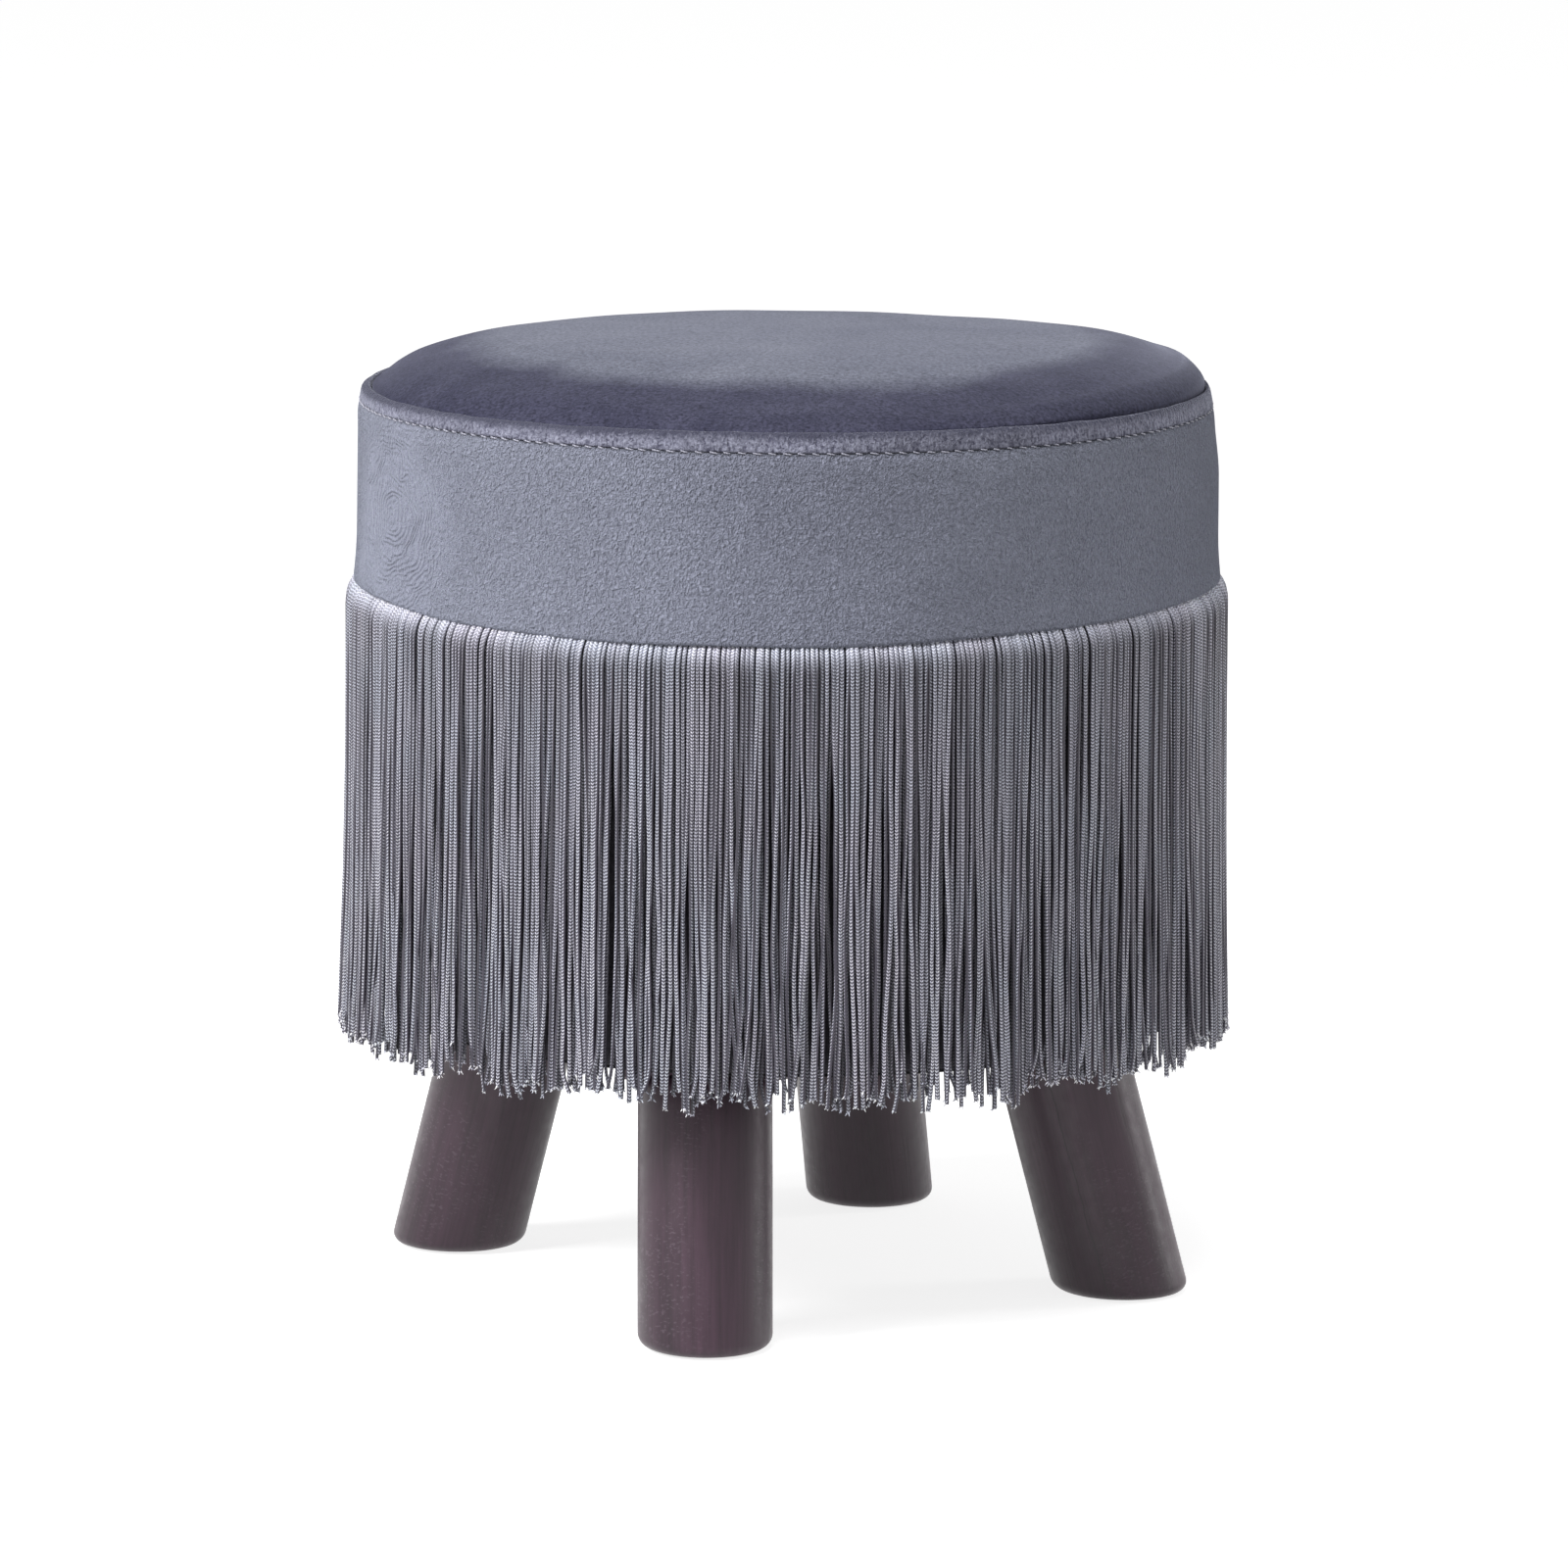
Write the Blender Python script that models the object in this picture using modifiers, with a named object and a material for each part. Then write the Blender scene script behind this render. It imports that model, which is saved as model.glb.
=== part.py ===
"""A round velvet footstool with a long fringe skirt and four splayed wooden legs.

Run with: blender --background --python part.py
Lengths are in metres and +Z is up. The origin is on the floor under the middle of the seat.
"""

import math
import random

import bmesh
import bpy
from mathutils import Matrix, Vector

# Fits
GAP = 0.0003  # between two pieces that touch
ROUND_STEPS = 48  # facets round the stool

# Seat and upholstery
SEAT_DIAMETER = 0.312  # across the ridge round the top
RIDGE_HEIGHT = 0.332  # floor to the top of the ridge
CROWN_RISE = 0.0185  # the middle of the seat above the ridge
CROWN_POWER = 4.8  # higher is flatter in the middle and steeper at the edge
VELVET_THICKNESS = 0.0012
RIDGE_WIDTH = 0.0030  # the folded edges that make the ridge
RIDGE_SWELL = 0.0007  # how far the ridge's side bulges
STITCH_DROP = 0.0065  # the stitch line below the top of the ridge
THREAD_DIAMETER = 0.0008
BAND_HEIGHT = 0.0745  # top of the ridge to the lower edge of the velvet band
BAND_SWELL = 0.0020  # the band's face outside the ridge
BAND_DRAW_IN = 0.0014  # how far the stitching pulls the band in
BAND_DRAW_HEIGHT = 0.010
BAND_FLARE = 0.0012  # how far the band's lower edge stands out over the fringe
BAND_FLARE_HEIGHT = 0.020
BAND_FOAM_THICKNESS = 0.004

# Drum under the upholstery
BASE_HEIGHT = 0.1045  # floor to the underside of the base board
BASE_THICKNESS = 0.015
TOP_THICKNESS = 0.012
PAD_EDGE_THICKNESS = 0.019  # the foam pad from the top board to the ridge
WALL_THICKNESS = 0.003
POST_WIDTH = 0.030
POST_INSET = 0.006  # from the inside of the wall to a post's outer corner
LINING_THICKNESS = 0.001
LINING_TUCK = 0.008  # how far the lining goes up under the velvet band
COVER_THICKNESS = 0.001

# Fringe
FRINGE_SECTORS = 12
STRANDS_PER_SECTOR = 28
STRAND_DIAMETER = 0.0023
FRINGE_DROP = 0.1595  # the band's lower edge to the middle of the tips
FRINGE_UNEVEN = 0.0065  # how much longer or shorter a strand may be
FRINGE_STAND_OFF = 0.0020  # the strands' middle line outside the band's lower edge
FRINGE_SPREAD = 0.0010  # how much further out the tips hang
STRAND_SWAY = 0.0003  # the tips' sideways and outward scatter
FRINGE_ROLL = 0.014  # height in which a strand rolls out from under the band
TAPE_HEIGHT = 0.009  # the woven heading that holds the strands
TAPE_THICKNESS = 0.0042
TAPE_COVER = 0.0022  # the band's lower edge below the tape
STRAND_ROOT = 0.0020  # how far a strand runs up inside the tape

# Legs
LEG_DIAMETER = 0.0484
LEG_SPLAY = math.radians(15.0)
LEG_EDGE = 0.0042  # rounding of a leg's two edges
FOOT_INSET = 0.027  # the middle of each foot inside the ridge
LEG_SIDES = 32
# Each leg's place round the stool, and how far its lean turns off the radius, in degrees.
LEGS = {
    "front": (-88.2, 14.0),
    "right": (0.2, 4.5),
    "back": (88.6, -6.0),
    "left": (175.6, -7.5),
}

# Splay blocks and hardware
BLOCK_DIAMETER = 0.060
BLOCK_THICKNESS = 0.012  # on the leg's axis
BLOCK_SIDES = 24
BOLT_DIAMETER = 0.008
BOLT_IN_LEG = 0.035
BOLT_IN_BLOCK = 0.023
BOLT_SIDES = 12
INSERT_DIAMETER = 0.013
INSERT_LENGTH = 0.019
INSERT_SETBACK = 0.0015  # the insert above the leg's top
SCREW_DIAMETER = 0.004
SCREW_LENGTH = 0.023
SCREW_HEAD_DIAMETER = 0.0078
SCREW_HEAD_HEIGHT = 0.0028
SCREW_RECESS = 0.0005
SCREW_SPACING = 0.045  # between the two screws of a block
SCREW_SIDES = 10
GLIDE_DIAMETER = 0.034
GLIDE_THICKNESS = 0.003
GLIDE_PROUD = 0.0008  # how far the felt stands out below the wood
GLIDE_SIDES = 24

# Radii from the ridge inwards
SEAT_RADIUS = SEAT_DIAMETER / 2
BAND_RADIUS = SEAT_RADIUS + BAND_SWELL
FOAM_OUTER = BAND_RADIUS - BAND_DRAW_IN - VELVET_THICKNESS - GAP
LINING_OUTER = FOAM_OUTER - BAND_FOAM_THICKNESS
WALL_OUTER = LINING_OUTER - LINING_THICKNESS - GAP
WALL_INNER = WALL_OUTER - WALL_THICKNESS
BOARD_RADIUS = WALL_INNER - GAP
FOOT_CIRCLE_RADIUS = SEAT_RADIUS - FOOT_INSET

# Heights from the ridge down and from the floor up
STITCH_HEIGHT = RIDGE_HEIGHT - STITCH_DROP
RIDGE_BOTTOM = STITCH_HEIGHT + THREAD_DIAMETER / 2 + GAP
BAND_TOP = STITCH_HEIGHT - THREAD_DIAMETER / 2 - GAP
BAND_BOTTOM = RIDGE_HEIGHT - BAND_HEIGHT
PAD_BOTTOM = RIDGE_HEIGHT - PAD_EDGE_THICKNESS
TOP_BOARD_TOP = PAD_BOTTOM - GAP
TOP_BOARD_BOTTOM = TOP_BOARD_TOP - TOP_THICKNESS
BASE_TOP = BASE_HEIGHT + BASE_THICKNESS
TAPE_BOTTOM = BAND_BOTTOM + TAPE_COVER
TAPE_TOP = TAPE_BOTTOM + TAPE_HEIGHT
LINING_TOP = BAND_BOTTOM + LINING_TUCK
BAND_FOAM_BOTTOM = TAPE_TOP + GAP
COVER_TOP = BASE_HEIGHT - GAP
COVER_BOTTOM = COVER_TOP - COVER_THICKNESS

# Along a leg's axis, from the middle of its foot
LEG_TOP = (BASE_HEIGHT - BLOCK_THICKNESS) / math.cos(LEG_SPLAY)
BLOCK_BOTTOM = LEG_TOP + GAP


def band_radius(height):
    """The velvet band's outer face: pulled in at the stitching and flared at the fringe."""
    flare = max(0.0, 1.0 - (height - BAND_BOTTOM) / BAND_FLARE_HEIGHT)
    draw = max(0.0, 1.0 - (STITCH_HEIGHT - height) / BAND_DRAW_HEIGHT)
    return BAND_RADIUS + BAND_FLARE * flare**2 - BAND_DRAW_IN * draw**2


def behind_band(height):
    """The radius just inside the velvet band at a height."""
    return band_radius(height) - VELVET_THICKNESS - GAP


def crown_height(radius, edge):
    """The seat's outer face: nearly flat in the middle and rolled down to the ridge."""
    return RIDGE_HEIGHT + CROWN_RISE * (1.0 - (radius / edge) ** CROWN_POWER)


def clear_scene():
    for obj in list(bpy.data.objects):
        bpy.data.objects.remove(obj, do_unlink=True)


def make_collection(name):
    collection = bpy.data.collections.new(name)
    bpy.context.scene.collection.children.link(collection)
    return collection


def make_material(name, colour, roughness, metallic=0.0):
    material = bpy.data.materials.new(name)
    material.use_nodes = True
    shader = material.node_tree.nodes["Principled BSDF"]
    shader.inputs["Base Color"].default_value = (*colour, 1.0)
    shader.inputs["Roughness"].default_value = roughness
    shader.inputs["Metallic"].default_value = metallic
    material.diffuse_color = (*colour, 1.0)
    return material


def add_object(name, data, collection, material=None):
    obj = bpy.data.objects.new(name, data)
    collection.objects.link(obj)
    if material is not None:
        data.materials.append(material)
    return obj


def make_cutter(name, mesh):
    obj = add_object(name, mesh, CUTTERS)
    obj.hide_render = True
    obj.display_type = "WIRE"
    return obj


def settle(obj, smooth=True):
    """Gives an object the mesh that its modifiers or its curve make, with round faces smooth."""
    graph = bpy.context.evaluated_depsgraph_get()
    mesh = bpy.data.meshes.new_from_object(obj.evaluated_get(graph))
    if smooth:
        mesh.shade_smooth()
        mesh.set_sharp_from_angle(angle=math.radians(35.0))
    if obj.type == "MESH":
        obj.modifiers.clear()
        obj.data = mesh
        return obj
    weld = bmesh.new()
    weld.from_mesh(mesh)
    bmesh.ops.remove_doubles(weld, verts=weld.verts, dist=0.00001)
    weld.to_mesh(mesh)
    weld.free()
    replacement = add_object(obj.name, mesh, obj.users_collection[0])
    replacement.matrix_world = obj.matrix_world
    name = obj.name
    bpy.data.objects.remove(obj, do_unlink=True)
    replacement.name = name
    return replacement


def boolean(obj, other, operation="DIFFERENCE"):
    modifier = obj.modifiers.new(f"{operation.title()} {other.name}", "BOOLEAN")
    modifier.operation = operation
    modifier.solver = "EXACT"
    modifier.object = other


def turned(name, profile, material, closed=True, angle=2 * math.pi, sides=ROUND_STEPS):
    """Turns a profile of (radius, height) points, outer side first, about the upright axis."""
    mesh = bpy.data.meshes.new(name)
    edges = [(i, i + 1) for i in range(len(profile) - 1)]
    if closed:
        edges.append((len(profile) - 1, 0))
    mesh.from_pydata([(radius, 0.0, height) for radius, height in profile], edges, [])
    obj = add_object(name, mesh, PARTS, material)
    screw = obj.modifiers.new("Turn", "SCREW")
    screw.axis = "Z"
    screw.angle = angle
    screw.steps = round(sides * angle / (2 * math.pi))
    screw.render_steps = screw.steps
    screw.use_merge_vertices = True
    screw.merge_threshold = 0.00001
    return obj


def add_thickness(obj, thickness):
    """Thickens an open surface inwards."""
    shell = obj.modifiers.new("Thickness", "SOLIDIFY")
    shell.thickness = thickness
    shell.offset = -1.0
    shell.use_even_offset = True


def ring(name, inner, outer, bottom, top, material):
    profile = [(outer, top), (outer, bottom), (inner, bottom), (inner, top)]
    return settle(turned(name, profile, material))


def disc(name, radius, bottom, top, material):
    return turned(name, [(0.0, top), (radius, top), (radius, bottom), (0.0, bottom)], material, False)


def on_leg_axis(along):
    """A point on the axis of a leg that leans towards +X, from the middle of its foot."""
    return Vector((-math.sin(LEG_SPLAY), 0.0, math.cos(LEG_SPLAY))) * along


def add_rod(bm, radius, start, end, sides):
    """Adds a cylinder along the leg's axis."""
    tilt = Matrix.Rotation(-LEG_SPLAY, 4, "Y")
    bmesh.ops.create_cone(
        bm,
        cap_ends=True,
        segments=sides,
        radius1=radius,
        radius2=radius,
        depth=end - start,
        matrix=Matrix.Translation(on_leg_axis((start + end) / 2)) @ tilt,
    )


def rod_mesh(name, radius, start, end, sides):
    bm = bmesh.new()
    add_rod(bm, radius, start, end, sides)
    mesh = bpy.data.meshes.new(name)
    bm.to_mesh(mesh)
    bm.free()
    return mesh


def slab_mesh(name, bottom, top):
    """A wide flat box between two heights, used to cut pieces level."""
    bm = bmesh.new()
    bmesh.ops.create_cube(bm, size=1.0)
    size = Vector((4 * BLOCK_DIAMETER, 4 * BLOCK_DIAMETER, top - bottom))
    bmesh.ops.scale(bm, vec=size, verts=bm.verts)
    bmesh.ops.translate(bm, vec=Vector((0.0, 0.0, (top + bottom) / 2)), verts=bm.verts)
    mesh = bpy.data.meshes.new(name)
    bm.to_mesh(mesh)
    bm.free()
    return mesh


def screw_profile(clearance=0.0, sunk=0.0):
    """A countersunk screw from its head's face up. A hole is wider and starts lower."""
    head = SCREW_HEAD_DIAMETER / 2 + clearance
    shank = SCREW_DIAMETER / 2 + clearance
    profile = [
        (0.0, SCREW_LENGTH + clearance),
        (shank, SCREW_LENGTH - SCREW_DIAMETER + clearance),
        (shank, SCREW_HEAD_HEIGHT + clearance),
        (head, 0.0),
    ]
    if sunk:
        profile.append((head, -sunk))
    profile.append((0.0, -sunk))
    return profile


def screw_mesh(name, clearance=0.0, sunk=0.0):
    """A screw, or a hole for one, in the middle of a leg's axis at the block's lower face."""
    screw = settle(turned(name, screw_profile(clearance, sunk), STEEL, False, sides=SCREW_SIDES))
    mesh = screw.data
    bpy.data.objects.remove(screw, do_unlink=True)
    tilt = Matrix.Rotation(-LEG_SPLAY, 4, "Y")
    mesh.transform(Matrix.Translation(on_leg_axis(BLOCK_BOTTOM + SCREW_RECESS)) @ tilt)
    return mesh


def hardware_holes(name):
    """The holes for a leg's insert and two screws, through the block and up into the base board."""
    radius = INSERT_DIAMETER / 2 + GAP
    end = LEG_TOP + BLOCK_THICKNESS + BASE_THICKNESS + BLOCK_DIAMETER
    bm = bmesh.new()
    add_rod(bm, radius, LEG_TOP - BLOCK_THICKNESS, end, BOLT_SIDES)
    hole = screw_mesh("screw_hole", GAP, SCREW_RECESS + 2 * GAP)
    hole.transform(Matrix.Translation((0.0, -SCREW_SPACING / 2, 0.0)))
    bm.from_mesh(hole)
    hole.transform(Matrix.Translation((0.0, SCREW_SPACING, 0.0)))
    bm.from_mesh(hole)
    mesh = bpy.data.meshes.new(name)
    bm.to_mesh(mesh)
    bm.free()
    return mesh


def make_leg():
    """A leg that leans outwards along +X as it comes down, cut level with the floor."""
    mesh = rod_mesh("leg", LEG_DIAMETER / 2, -LEG_DIAMETER, LEG_TOP, LEG_SIDES)
    leg = add_object("leg", mesh, PARTS, WOOD)
    floor = make_cutter("floor_cut", slab_mesh("floor_cut", -2 * LEG_DIAMETER, GLIDE_PROUD))
    boolean(leg, floor)
    bevel = leg.modifiers.new("Rounded edges", "BEVEL")
    bevel.width = LEG_EDGE
    bevel.segments = 2
    bevel.limit_method = "ANGLE"
    bevel.angle_limit = math.radians(45.0)
    start = LEG_TOP - BOLT_IN_LEG - GAP
    bore = rod_mesh("bolt_hole", BOLT_DIAMETER / 2 + GAP, start, LEG_TOP + BOLT_IN_BLOCK, BOLT_SIDES)
    boolean(leg, make_cutter("bolt_hole", bore))
    boolean(leg, make_cutter("glide_recess", glide_mesh("glide_recess", GAP)))
    return settle(leg)


def glide_mesh(name, clearance):
    """A flat round pad on the floor under a foot. With a clearance, the recess that it sits in."""
    bm = bmesh.new()
    top = GLIDE_THICKNESS + clearance
    bottom = -clearance
    bmesh.ops.create_cone(
        bm,
        cap_ends=True,
        segments=GLIDE_SIDES,
        radius1=GLIDE_DIAMETER / 2 + clearance,
        radius2=GLIDE_DIAMETER / 2 + clearance,
        depth=top - bottom,
        matrix=Matrix.Translation((0.0, 0.0, (top + bottom) / 2)),
    )
    mesh = bpy.data.meshes.new(name)
    bm.to_mesh(mesh)
    bm.free()
    return mesh


def make_block():
    """The wooden wedge between a leg's square top and the level base board."""
    end = BLOCK_BOTTOM + BLOCK_THICKNESS + BLOCK_DIAMETER
    mesh = rod_mesh("splay_block", BLOCK_DIAMETER / 2, BLOCK_BOTTOM, end, BLOCK_SIDES)
    block = add_object("splay_block", mesh, PARTS, WOOD)
    level = slab_mesh("level_cut", BASE_HEIGHT - GAP, BASE_HEIGHT + 2 * BLOCK_DIAMETER)
    boolean(block, make_cutter("level_cut", level))
    boolean(block, make_cutter("block_holes", hardware_holes("block_holes")))
    return settle(block)


def make_insert():
    """The threaded brass sleeve that takes the leg's bolt."""
    bore = BOLT_DIAMETER / 2 + GAP
    start = BLOCK_BOTTOM + INSERT_SETBACK
    end = start + INSERT_LENGTH
    mesh = rod_mesh("insert", INSERT_DIAMETER / 2, start, end, BOLT_SIDES)
    insert = add_object("insert", mesh, PARTS, BRASS)
    hole = rod_mesh("insert_bore", bore, start - bore, end + bore, BOLT_SIDES)
    boolean(insert, make_cutter("insert_bore", hole))
    return settle(insert)


def make_bolt():
    """The headless bolt that joins a leg to its block."""
    mesh = rod_mesh("bolt", BOLT_DIAMETER / 2, LEG_TOP - BOLT_IN_LEG, LEG_TOP + BOLT_IN_BLOCK, BOLT_SIDES)
    return settle(add_object("bolt", mesh, PARTS, STEEL))


def make_corners():
    """The four legs with their blocks and hardware, each set by an empty at its foot."""
    patterns = {
        "leg": make_leg(),
        "splay_block": make_block(),
        "insert_nut": make_insert(),
        "hanger_bolt": make_bolt(),
        "felt_glide": add_object("felt_glide", glide_mesh("felt_glide", 0.0), PARTS, FELT),
    }
    screw = screw_mesh("block_screw")
    corners = []
    for name, (place, turn) in LEGS.items():
        corner = bpy.data.objects.new(f"corner_{name}", None)
        PARTS.objects.link(corner)
        angle = math.radians(place)
        corner.location = (FOOT_CIRCLE_RADIUS * math.cos(angle), FOOT_CIRCLE_RADIUS * math.sin(angle), 0.0)
        corner.rotation_euler = (0.0, 0.0, math.radians(place + turn))
        for piece, pattern in patterns.items():
            copy = bpy.data.objects.new(f"{piece}_{name}", pattern.data)
            PARTS.objects.link(copy)
            copy.parent = corner
        for number, side in ((1, -1), (2, 1)):
            copy = bpy.data.objects.new(f"block_screw_{name}_{number}", screw)
            PARTS.objects.link(copy)
            copy.parent = corner
            copy.location = (0.0, side * SCREW_SPACING / 2, 0.0)
        corners.append(corner)
    for pattern in patterns.values():
        bpy.data.objects.remove(pattern, do_unlink=True)
    return corners


def cut_at_corners(obj, mesh, corners):
    """Cuts a board or cover with the same cutter at each leg."""
    for corner in corners:
        cutter = make_cutter(f"{mesh.name}_{corner.name}", mesh)
        cutter.parent = corner
        boolean(obj, cutter)


def make_boards(corners):
    """The two plywood discs of the drum, with holes in the lower one for the legs' hardware."""
    disc("top_board", BOARD_RADIUS, TOP_BOARD_BOTTOM, TOP_BOARD_TOP, PLYWOOD)
    base = disc("base_board", BOARD_RADIUS, BASE_HEIGHT, BASE_TOP, PLYWOOD)
    cut_at_corners(base, hardware_holes("board_holes"), corners)


def make_cover(corners):
    """The thin cloth under the base board, cut out round the blocks."""
    cover = disc("dust_cover", WALL_OUTER, COVER_BOTTOM, COVER_TOP, LINING)
    radius = BLOCK_DIAMETER / 2 + GAP
    start = LEG_TOP - BLOCK_THICKNESS
    opening = rod_mesh("block_opening", radius, start, start + 2 * BLOCK_DIAMETER, BLOCK_SIDES)
    cut_at_corners(cover, opening, corners)


def make_posts():
    """Four square posts that hold the two boards apart, standing between the legs."""
    height = TOP_BOARD_BOTTOM - BASE_TOP - 2 * GAP
    diagonal = BOARD_RADIUS - POST_INSET - POST_WIDTH / math.sqrt(2)
    for number in range(4):
        angle = math.radians(45.0 + 90.0 * number)
        bm = bmesh.new()
        bmesh.ops.create_cube(bm, size=1.0)
        bmesh.ops.scale(bm, vec=Vector((POST_WIDTH, POST_WIDTH, height)), verts=bm.verts)
        mesh = bpy.data.meshes.new(f"post_{number + 1}")
        bm.to_mesh(mesh)
        bm.free()
        post = add_object(f"post_{number + 1}", mesh, PARTS, PLAIN_WOOD)
        place = Vector((math.cos(angle), math.sin(angle), 0.0)) * diagonal
        post.location = place + Vector((0.0, 0.0, BASE_TOP + GAP + height / 2))


def make_foam():
    """The crowned pad on the top board and the thin foam round the drum behind the band."""
    edge = SEAT_RADIUS - RIDGE_WIDTH - GAP - VELVET_THICKNESS
    inset = VELVET_THICKNESS + GAP
    profile = []
    for share in (0.0, 0.4, 0.65, 0.82, 0.93, 1.0):
        radius = edge * share
        profile.append((radius, crown_height(radius, edge) - inset))
    side_top = RIDGE_BOTTOM - GAP
    profile.append((edge, side_top))
    profile.append((behind_band(BAND_TOP), side_top))
    profile.append((behind_band(PAD_BOTTOM), PAD_BOTTOM))
    profile.append((0.0, PAD_BOTTOM))
    settle(turned("foam_pad", profile, FOAM, False))
    ring("band_foam", LINING_OUTER + GAP, FOAM_OUTER, BAND_FOAM_BOTTOM, PAD_BOTTOM - GAP, FOAM)


def make_velvet():
    """The top panel, the ridge of folded edges, its stitching and the side band."""
    edge = SEAT_RADIUS - RIDGE_WIDTH - GAP
    top = []
    for share in (0.0, 0.4, 0.65, 0.82, 0.93, 1.0):
        radius = edge * share
        top.append((radius, crown_height(radius, edge)))
    panel = turned("velvet_top", top, VELVET, False)
    add_thickness(panel, VELVET_THICKNESS)
    settle(panel)

    middle = (RIDGE_HEIGHT + RIDGE_BOTTOM) / 2
    round_off = RIDGE_WIDTH / 3
    ridge = [
        (SEAT_RADIUS - round_off, RIDGE_HEIGHT),
        (SEAT_RADIUS, RIDGE_HEIGHT - round_off),
        (SEAT_RADIUS + RIDGE_SWELL, middle),
        (SEAT_RADIUS, RIDGE_BOTTOM),
        (SEAT_RADIUS - RIDGE_WIDTH, RIDGE_BOTTOM),
        (SEAT_RADIUS - RIDGE_WIDTH, RIDGE_HEIGHT - round_off),
    ]
    settle(turned("ridge_seam", ridge, VELVET))

    half = THREAD_DIAMETER / 2
    line = band_radius(STITCH_HEIGHT) - THREAD_DIAMETER
    thread = [
        (line, STITCH_HEIGHT + half),
        (line + half, STITCH_HEIGHT),
        (line, STITCH_HEIGHT - half),
        (line - half, STITCH_HEIGHT),
    ]
    settle(turned("topstitch_thread", thread, THREAD))

    heights = [
        BAND_TOP,
        STITCH_HEIGHT - BAND_DRAW_HEIGHT / 2,
        STITCH_HEIGHT - BAND_DRAW_HEIGHT,
        BAND_BOTTOM + BAND_FLARE_HEIGHT,
        BAND_BOTTOM + BAND_FLARE_HEIGHT / 2,
        BAND_BOTTOM,
    ]
    band = turned("velvet_band", [(band_radius(z), z) for z in heights], VELVET, False)
    add_thickness(band, VELVET_THICKNESS)
    settle(band)


def make_drum():
    """The bent wall round the boards and the dark lining behind the fringe."""
    ring("drum_wall", WALL_INNER, WALL_OUTER, BASE_HEIGHT, TOP_BOARD_TOP, FIBREBOARD)
    ring("lining_sleeve", WALL_OUTER + GAP, LINING_OUTER, COVER_BOTTOM, LINING_TOP, LINING)


def strand_points(angle, tip_drop, sway, spread):
    """One strand: from inside the tape, out under the band's edge, and down to its tip."""
    hang = band_radius(BAND_BOTTOM) + FRINGE_STAND_OFF
    facet = math.cos(math.pi / ROUND_STEPS)
    under_edge = behind_band(BAND_BOTTOM) * facet - STRAND_DIAMETER / 2 - GAP
    rise = TAPE_BOTTOM + STRAND_ROOT - BAND_BOTTOM
    root = under_edge - (hang - under_edge) * rise / FRINGE_ROLL
    stations = [
        (root, 0.0, BAND_BOTTOM + rise),
        (hang, 0.0, BAND_BOTTOM - FRINGE_ROLL),
        (hang + FRINGE_SPREAD + spread, sway, BAND_BOTTOM - tip_drop),
    ]
    turn = Matrix.Rotation(angle, 3, "Z")
    return [turn @ Vector(station) for station in stations]


def strand_section():
    """A strand's three-sided section, with one corner facing out."""
    section = bpy.data.curves.new("strand_section", "CURVE")
    section.dimensions = "2D"
    spline = section.splines.new("POLY")
    spline.points.add(2)
    spline.use_cyclic_u = True
    for number, point in enumerate(spline.points):
        angle = -2 * math.pi * number / 3
        radius = STRAND_DIAMETER / 2
        point.co = (radius * math.cos(angle), radius * math.sin(angle), 0.0, 1.0)
    obj = add_object("strand_section", section, CUTTERS)
    obj.hide_render = True
    return obj


def make_fringe():
    """The fringe skirt in equal slices, each a piece of tape with its strands."""
    chance = random.Random(11)
    section = strand_section()
    sector = 2 * math.pi / FRINGE_SECTORS
    tape_radius = behind_band(TAPE_BOTTOM)
    # A slice's end faces stand square to its last facet, so they reach a little past the radius.
    end_lean = TAPE_THICKNESS * math.tan(math.pi / ROUND_STEPS)
    trim = (GAP + 2 * end_lean) / tape_radius
    for number in range(FRINGE_SECTORS):
        name = f"fringe_{number + 1:02d}"
        heights = (TAPE_TOP, (TAPE_TOP + TAPE_BOTTOM) / 2, TAPE_BOTTOM)
        outline = [(behind_band(height), height) for height in heights]
        tape = turned(name, outline, FRINGE, False, sector - trim)
        tape.rotation_euler = (0.0, 0.0, sector * number)
        add_thickness(tape, TAPE_THICKNESS)
        curve = bpy.data.curves.new(f"strands_{number + 1:02d}", "CURVE")
        curve.dimensions = "3D"
        curve.bevel_mode = "OBJECT"
        curve.bevel_object = section
        curve.use_fill_caps = True
        for index in range(STRANDS_PER_SECTOR):
            angle = (index + 0.5) / STRANDS_PER_SECTOR * (sector - trim)
            drop = FRINGE_DROP + chance.uniform(-FRINGE_UNEVEN, FRINGE_UNEVEN)
            sway = chance.uniform(-STRAND_SWAY, STRAND_SWAY)
            spread = chance.uniform(-STRAND_SWAY, STRAND_SWAY)
            points = strand_points(angle, drop, sway, spread)
            spline = curve.splines.new("POLY")
            spline.points.add(len(points) - 1)
            for point, place in zip(spline.points, points):
                point.co = (*place, 1.0)
        strands = add_object(f"strands_{number + 1:02d}", curve, CUTTERS)
        strands.rotation_euler = (0.0, 0.0, sector * number)
        bpy.context.view_layer.update()
        strands = settle(strands)
        strands.hide_render = True
        strands.display_type = "WIRE"
        boolean(tape, strands, "UNION")
        settle(tape, smooth=False)


def make_footstool():
    corners = make_corners()
    bpy.context.view_layer.update()
    make_boards(corners)
    make_cover(corners)
    make_posts()
    make_drum()
    make_foam()
    make_velvet()
    make_fringe()
    for obj in CUTTERS.objects:
        obj.hide_set(True)


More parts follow.
